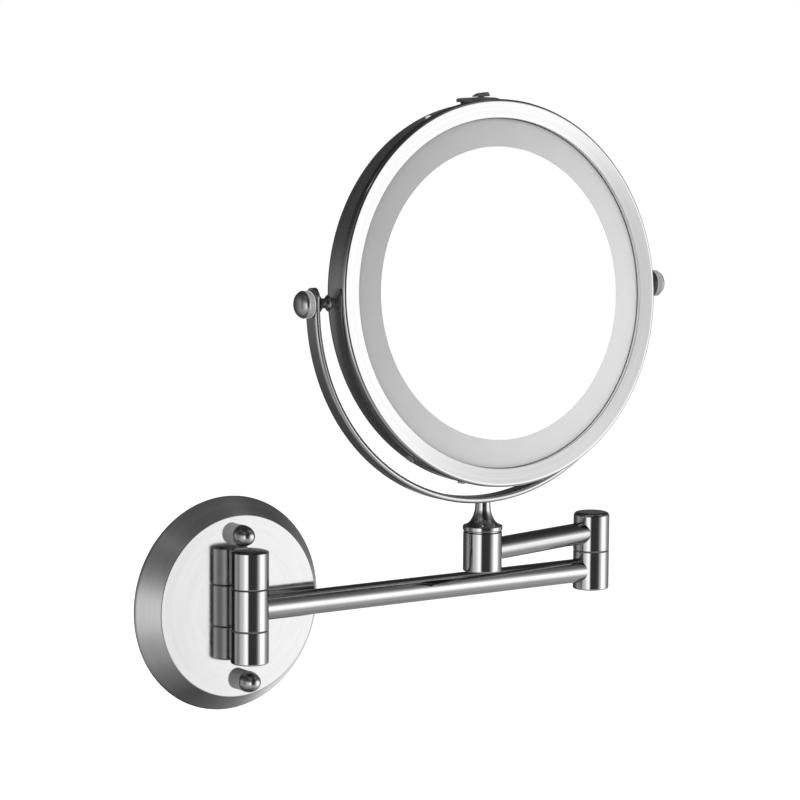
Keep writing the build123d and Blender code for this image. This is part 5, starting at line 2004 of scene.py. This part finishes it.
@dataclass
class Studio:
    """Plain floor, soft light, surrounding light cards and the camera."""

    azimuth: float = -35.49
    elevation: float = 7.09
    roll: float = 0.39
    focal: float = 3700.0
    scale: float = 1804.2
    shift_x: float = -98.96
    shift_y: float = -111.58
    floor_z: float = -0.35
    turn_stops: tuple[Point2, ...] = (
        (-180, 60), (-165, 50), (-152, 70), (-140, 112), (-130, 138), (-119, 113), (-108, 103),
        (-100, 132), (-92, 168), (-80, 178), (-72, 200), (-64, 236), (-57, 252), (-48, 248),
        (-43, 150), (-39, 55), (-34, 42), (-4, 43), (6, 54), (13, 98), (20, 150), (26, 188),
        (30.6, 203), (31.4, 234), (33.2, 256), (59, 256), (66, 226), (73, 172), (82, 140),
        (104, 106), (135, 90), (180, 60),
    )
    rise_stops: tuple[Point2, ...] = (
        (-90, 84), (-66, 104), (-55, 128), (-48, 150), (-37, 148), (-30, 186), (-22, 226),
        (-15, 254), (5.6, 256), (7.4, 216), (14, 176), (21, 128), (29, 94), (41, 80), (47, 56),
        (51, 76), (54, 190), (57, 60), (70, 54), (90, 54),
    )
    back_stops: tuple[Point2, ...] = (
        (0, 255), (105, 245), (120, 212), (135, 180), (150, 120), (180, 110),
    )
    corner_card: tuple[float, float, float, float] = (131.0, -22.0, 7.0, 19.0)
    second_bounce: float = 0.3

    def camera(self) -> None:
        """Sets the camera in front of the object, to its left and a little above."""
        a, e, r = (math.radians(x) for x in (self.azimuth, self.elevation, self.roll))
        back = Vector((math.sin(a) * math.cos(e), -math.cos(a) * math.cos(e), math.sin(e)))
        flat = Vector((math.cos(a), math.sin(a), 0.0))
        tall = back.cross(flat)
        right = flat * math.cos(r) + tall * math.sin(r)
        up = tall * math.cos(r) - flat * math.sin(r)
        data = bpy.data.cameras.new("camera")
        data.sensor_width = 36.0
        data.lens = self.focal * 36.0 / 800.0
        data.clip_start, data.clip_end = 0.05, 60.0
        camera = bpy.data.objects.new("camera", data)
        turned = Matrix((right, up, back)).transposed().to_4x4()
        place = back * (self.focal / self.scale) - (right * self.shift_x + up * self.shift_y) * MM
        camera.matrix_world = Matrix.Translation(place) @ turned
        bpy.context.scene.collection.objects.link(camera)
        bpy.context.scene.camera = camera

    def ramp(
        self, t: TreeMaker, value: bpy.types.NodeSocket, stops: Sequence[Point2], span: float
    ) -> bpy.types.NodeSocket:
        """Turns an angle into a light level.

        Args:
            t: The tree maker.
            value: The angle, in degrees.
            stops: Angles and the displayed greys there.
            span: Half the range of the angle, in degrees.

        Returns:
            The light level.
        """
        node = t.add("ShaderNodeValToRGB")
        t.feed(node.inputs[0], t.span(value, -span, span))
        elements = node.color_ramp.elements
        while len(elements) > 1:
            elements.remove(elements[-1])
        for index, (angle, level) in enumerate(stops):
            place = (angle + span) / (2 * span)
            element = elements[0] if index == 0 else elements.new(place)
            element.position = place
            tone = tone_stop(level)
            element.color = (tone, tone, tone, 1.0)
        split = t.add("ShaderNodeSeparateColor")
        t.feed(split.inputs[0], node.outputs[0])
        return split.outputs[0]

    def surroundings(self) -> None:
        """Builds the light cards that the plated metal mirrors, and the plain white beyond."""
        world = bpy.data.worlds.new("studio")
        world.use_nodes = True
        world.node_tree.nodes.clear()
        t = TreeMaker(world.node_tree)
        way = t.add("ShaderNodeTexCoord").outputs["Generated"]
        split = t.add("ShaderNodeSeparateXYZ")
        t.feed(split.inputs[0], t.vector("NORMALIZE", way))
        x, y, z = split.outputs
        turn = t.math("DEGREES", t.math("ARCTAN2", x, t.math("MULTIPLY", y, -1.0)))
        rise = t.math("DEGREES", t.math("ARCSINE", z))
        # Towards the floor the cards close into a ring, which is dimmer at the wall's side.
        steep = t.span(rise, -14.0, -44.0)
        overhead = t.span(rise, 40.0, 75.0, 0.0, 0.3)
        sides = self.ramp(t, turn, self.turn_stops, 180.0)
        below = self.ramp(t, t.math("ABSOLUTE", turn), self.back_stops, 180.0)
        share = t.math("MAXIMUM", steep, overhead)
        ring = t.math("MULTIPLY_ADD", t.math("SUBTRACT", below, sides), share, sides)
        cards = t.math("MULTIPLY", ring, self.ramp(t, rise, self.rise_stops, 90.0))
        # One more card stands low behind the wall plate's right side.
        azimuth, height, inner, outer = (math.radians(x) for x in self.corner_card)
        towards = (
            math.sin(azimuth) * math.cos(height),
            -math.cos(azimuth) * math.cos(height),
            math.sin(height),
        )
        facing = t.vector("DOT_PRODUCT", t.vector("NORMALIZE", way), towards, out="Value")
        card = t.span(facing, math.cos(outer), math.cos(inner), 0.0, 0.95)
        cards = t.math("MAXIMUM", cards, card)
        level = t.math("MULTIPLY_ADD", cards, 1.03, 0.012)
        path = t.add("ShaderNodeLightPath")
        # A choice for the picture: cards seen over two mirroring surfaces are dimmed.
        deeper = t.span(path.outputs["Glossy Depth"], 1.0, 2.0, 1.0, self.second_bounce)
        level = t.math("MULTIPLY", level, deeper)
        glossy = t.add("ShaderNodeBackground")
        soft = t.add("ShaderNodeBackground")
        seen = t.add("ShaderNodeBackground")
        tint = t.add("ShaderNodeCombineColor")
        t.set(tint, Red=level, Green=level, Blue=level)
        t.feed(glossy.inputs["Color"], tint.outputs[0])
        t.set(soft, Color=(1.0, 1.0, 1.0, 1.0), Strength=1.12)
        t.set(seen, Color=(1.0, 1.0, 1.0, 1.0), Strength=1.0)
        lit = t.add("ShaderNodeMixShader")
        t.feed(lit.inputs[0], path.outputs["Is Glossy Ray"])
        t.feed(lit.inputs[1], soft.outputs[0])
        t.feed(lit.inputs[2], glossy.outputs[0])
        full = t.add("ShaderNodeMixShader")
        t.feed(full.inputs[0], path.outputs["Is Camera Ray"])
        t.feed(full.inputs[1], lit.outputs[0])
        t.feed(full.inputs[2], seen.outputs[0])
        surface = t.add("ShaderNodeOutputWorld")
        t.feed(surface.inputs["Surface"], full.outputs[0])
        bpy.context.scene.world = world

    def lamp(self, name: str, place: Sequence[float], size: float, power: float) -> None:
        """Adds a soft square light that looks at the head.

        Args:
            name: The light's name.
            place: Where it stands, in metres.
            size: Its side, in metres.
            power: Its power, in watts.
        """
        data = bpy.data.lights.new(name, "AREA")
        data.size, data.energy = size, power
        light = bpy.data.objects.new(name, data)
        aim = Vector((0.14, -0.04, 0.1)) - Vector(place)
        light.matrix_world = Matrix.Translation(Vector(place)) @ aim.to_track_quat(
            "-Z", "Y"
        ).to_matrix().to_4x4()
        light.visible_glossy = False
        bpy.context.scene.collection.objects.link(light)

    def floor(self) -> None:
        """Lays a plain pale floor well under the wall-hung object."""
        bm = bmesh.new()
        corners = ((-12, -12), (12, -12), (12, 12), (-12, 12))
        bm.faces.new([bm.verts.new((x, y, self.floor_z)) for x, y in corners])
        piece = to_object(bm, "studio_floor")
        t, shader, material = new_material("pale_floor")
        place = t.add("ShaderNodeTexCoord").outputs["Object"]
        cloud = t.noise(place, 3.0, 3.0, 0.5)
        t.set(shader, Base_Color=t.blend(cloud, grey(0.95), grey(0.97)), Roughness=0.8)
        shader.inputs["Specular IOR Level"].default_value = 0.1
        piece.data.materials.append(material)
        piece.visible_glossy = False

    def build(self) -> None:
        """Sets up the whole studio."""
        bpy.context.scene.view_settings.view_transform = "Standard"
        self.surroundings()
        self.floor()
        self.lamp("key_softbox", (1.2, -2.0, 1.3), 1.6, 26.0)
        self.lamp("fill_softbox", (-1.6, -1.8, 0.9), 1.8, 16.0)
        self.lamp("top_softbox", (0.1, 0.3, 2.0), 1.8, 16.0)
        self.camera()


def head_datum() -> Datum:
    """The head's frame, read off the tilt hinge and the battery cap's axis."""
    out = Vector(JOINTS["battery_cap_turn"]["axis"]).normalized()
    origin = joint_place("head_tilt") + out * PIVOT_BACK * MM
    return Datum(origin, X_AXIS, out.cross(X_AXIS), out)


def main() -> None:
    """Builds the object, piece by piece, and the studio round it."""
    logging.basicConfig(level=logging.INFO, format="%(name)s: %(message)s")
    pivot = joint_place("head_tilt")
    head = head_datum()
    shop = Workshop(Palette(head))
    WallMount(shop).build()
    ThumbNut(shop, "thumb_nut_upper", Body.UPPER_NUT).build()
    ThumbNut(shop, "thumb_nut_lower", Body.LOWER_NUT).build()
    Arms(shop).build()
    Yoke(shop, pivot).build()
    Head(shop, head, pivot).build()
    SideKnob(shop, pivot, "knob_right", Body.RIGHT_KNOB, 1).build()
    SideKnob(shop, pivot, "knob_left", Body.LEFT_KNOB, -1).build()
    SlideSwitch(shop, head).build()
    InnerParts(shop).build()
    Studio().build()
    bpy.context.view_layer.update()


if __name__ == "__main__":
    main()
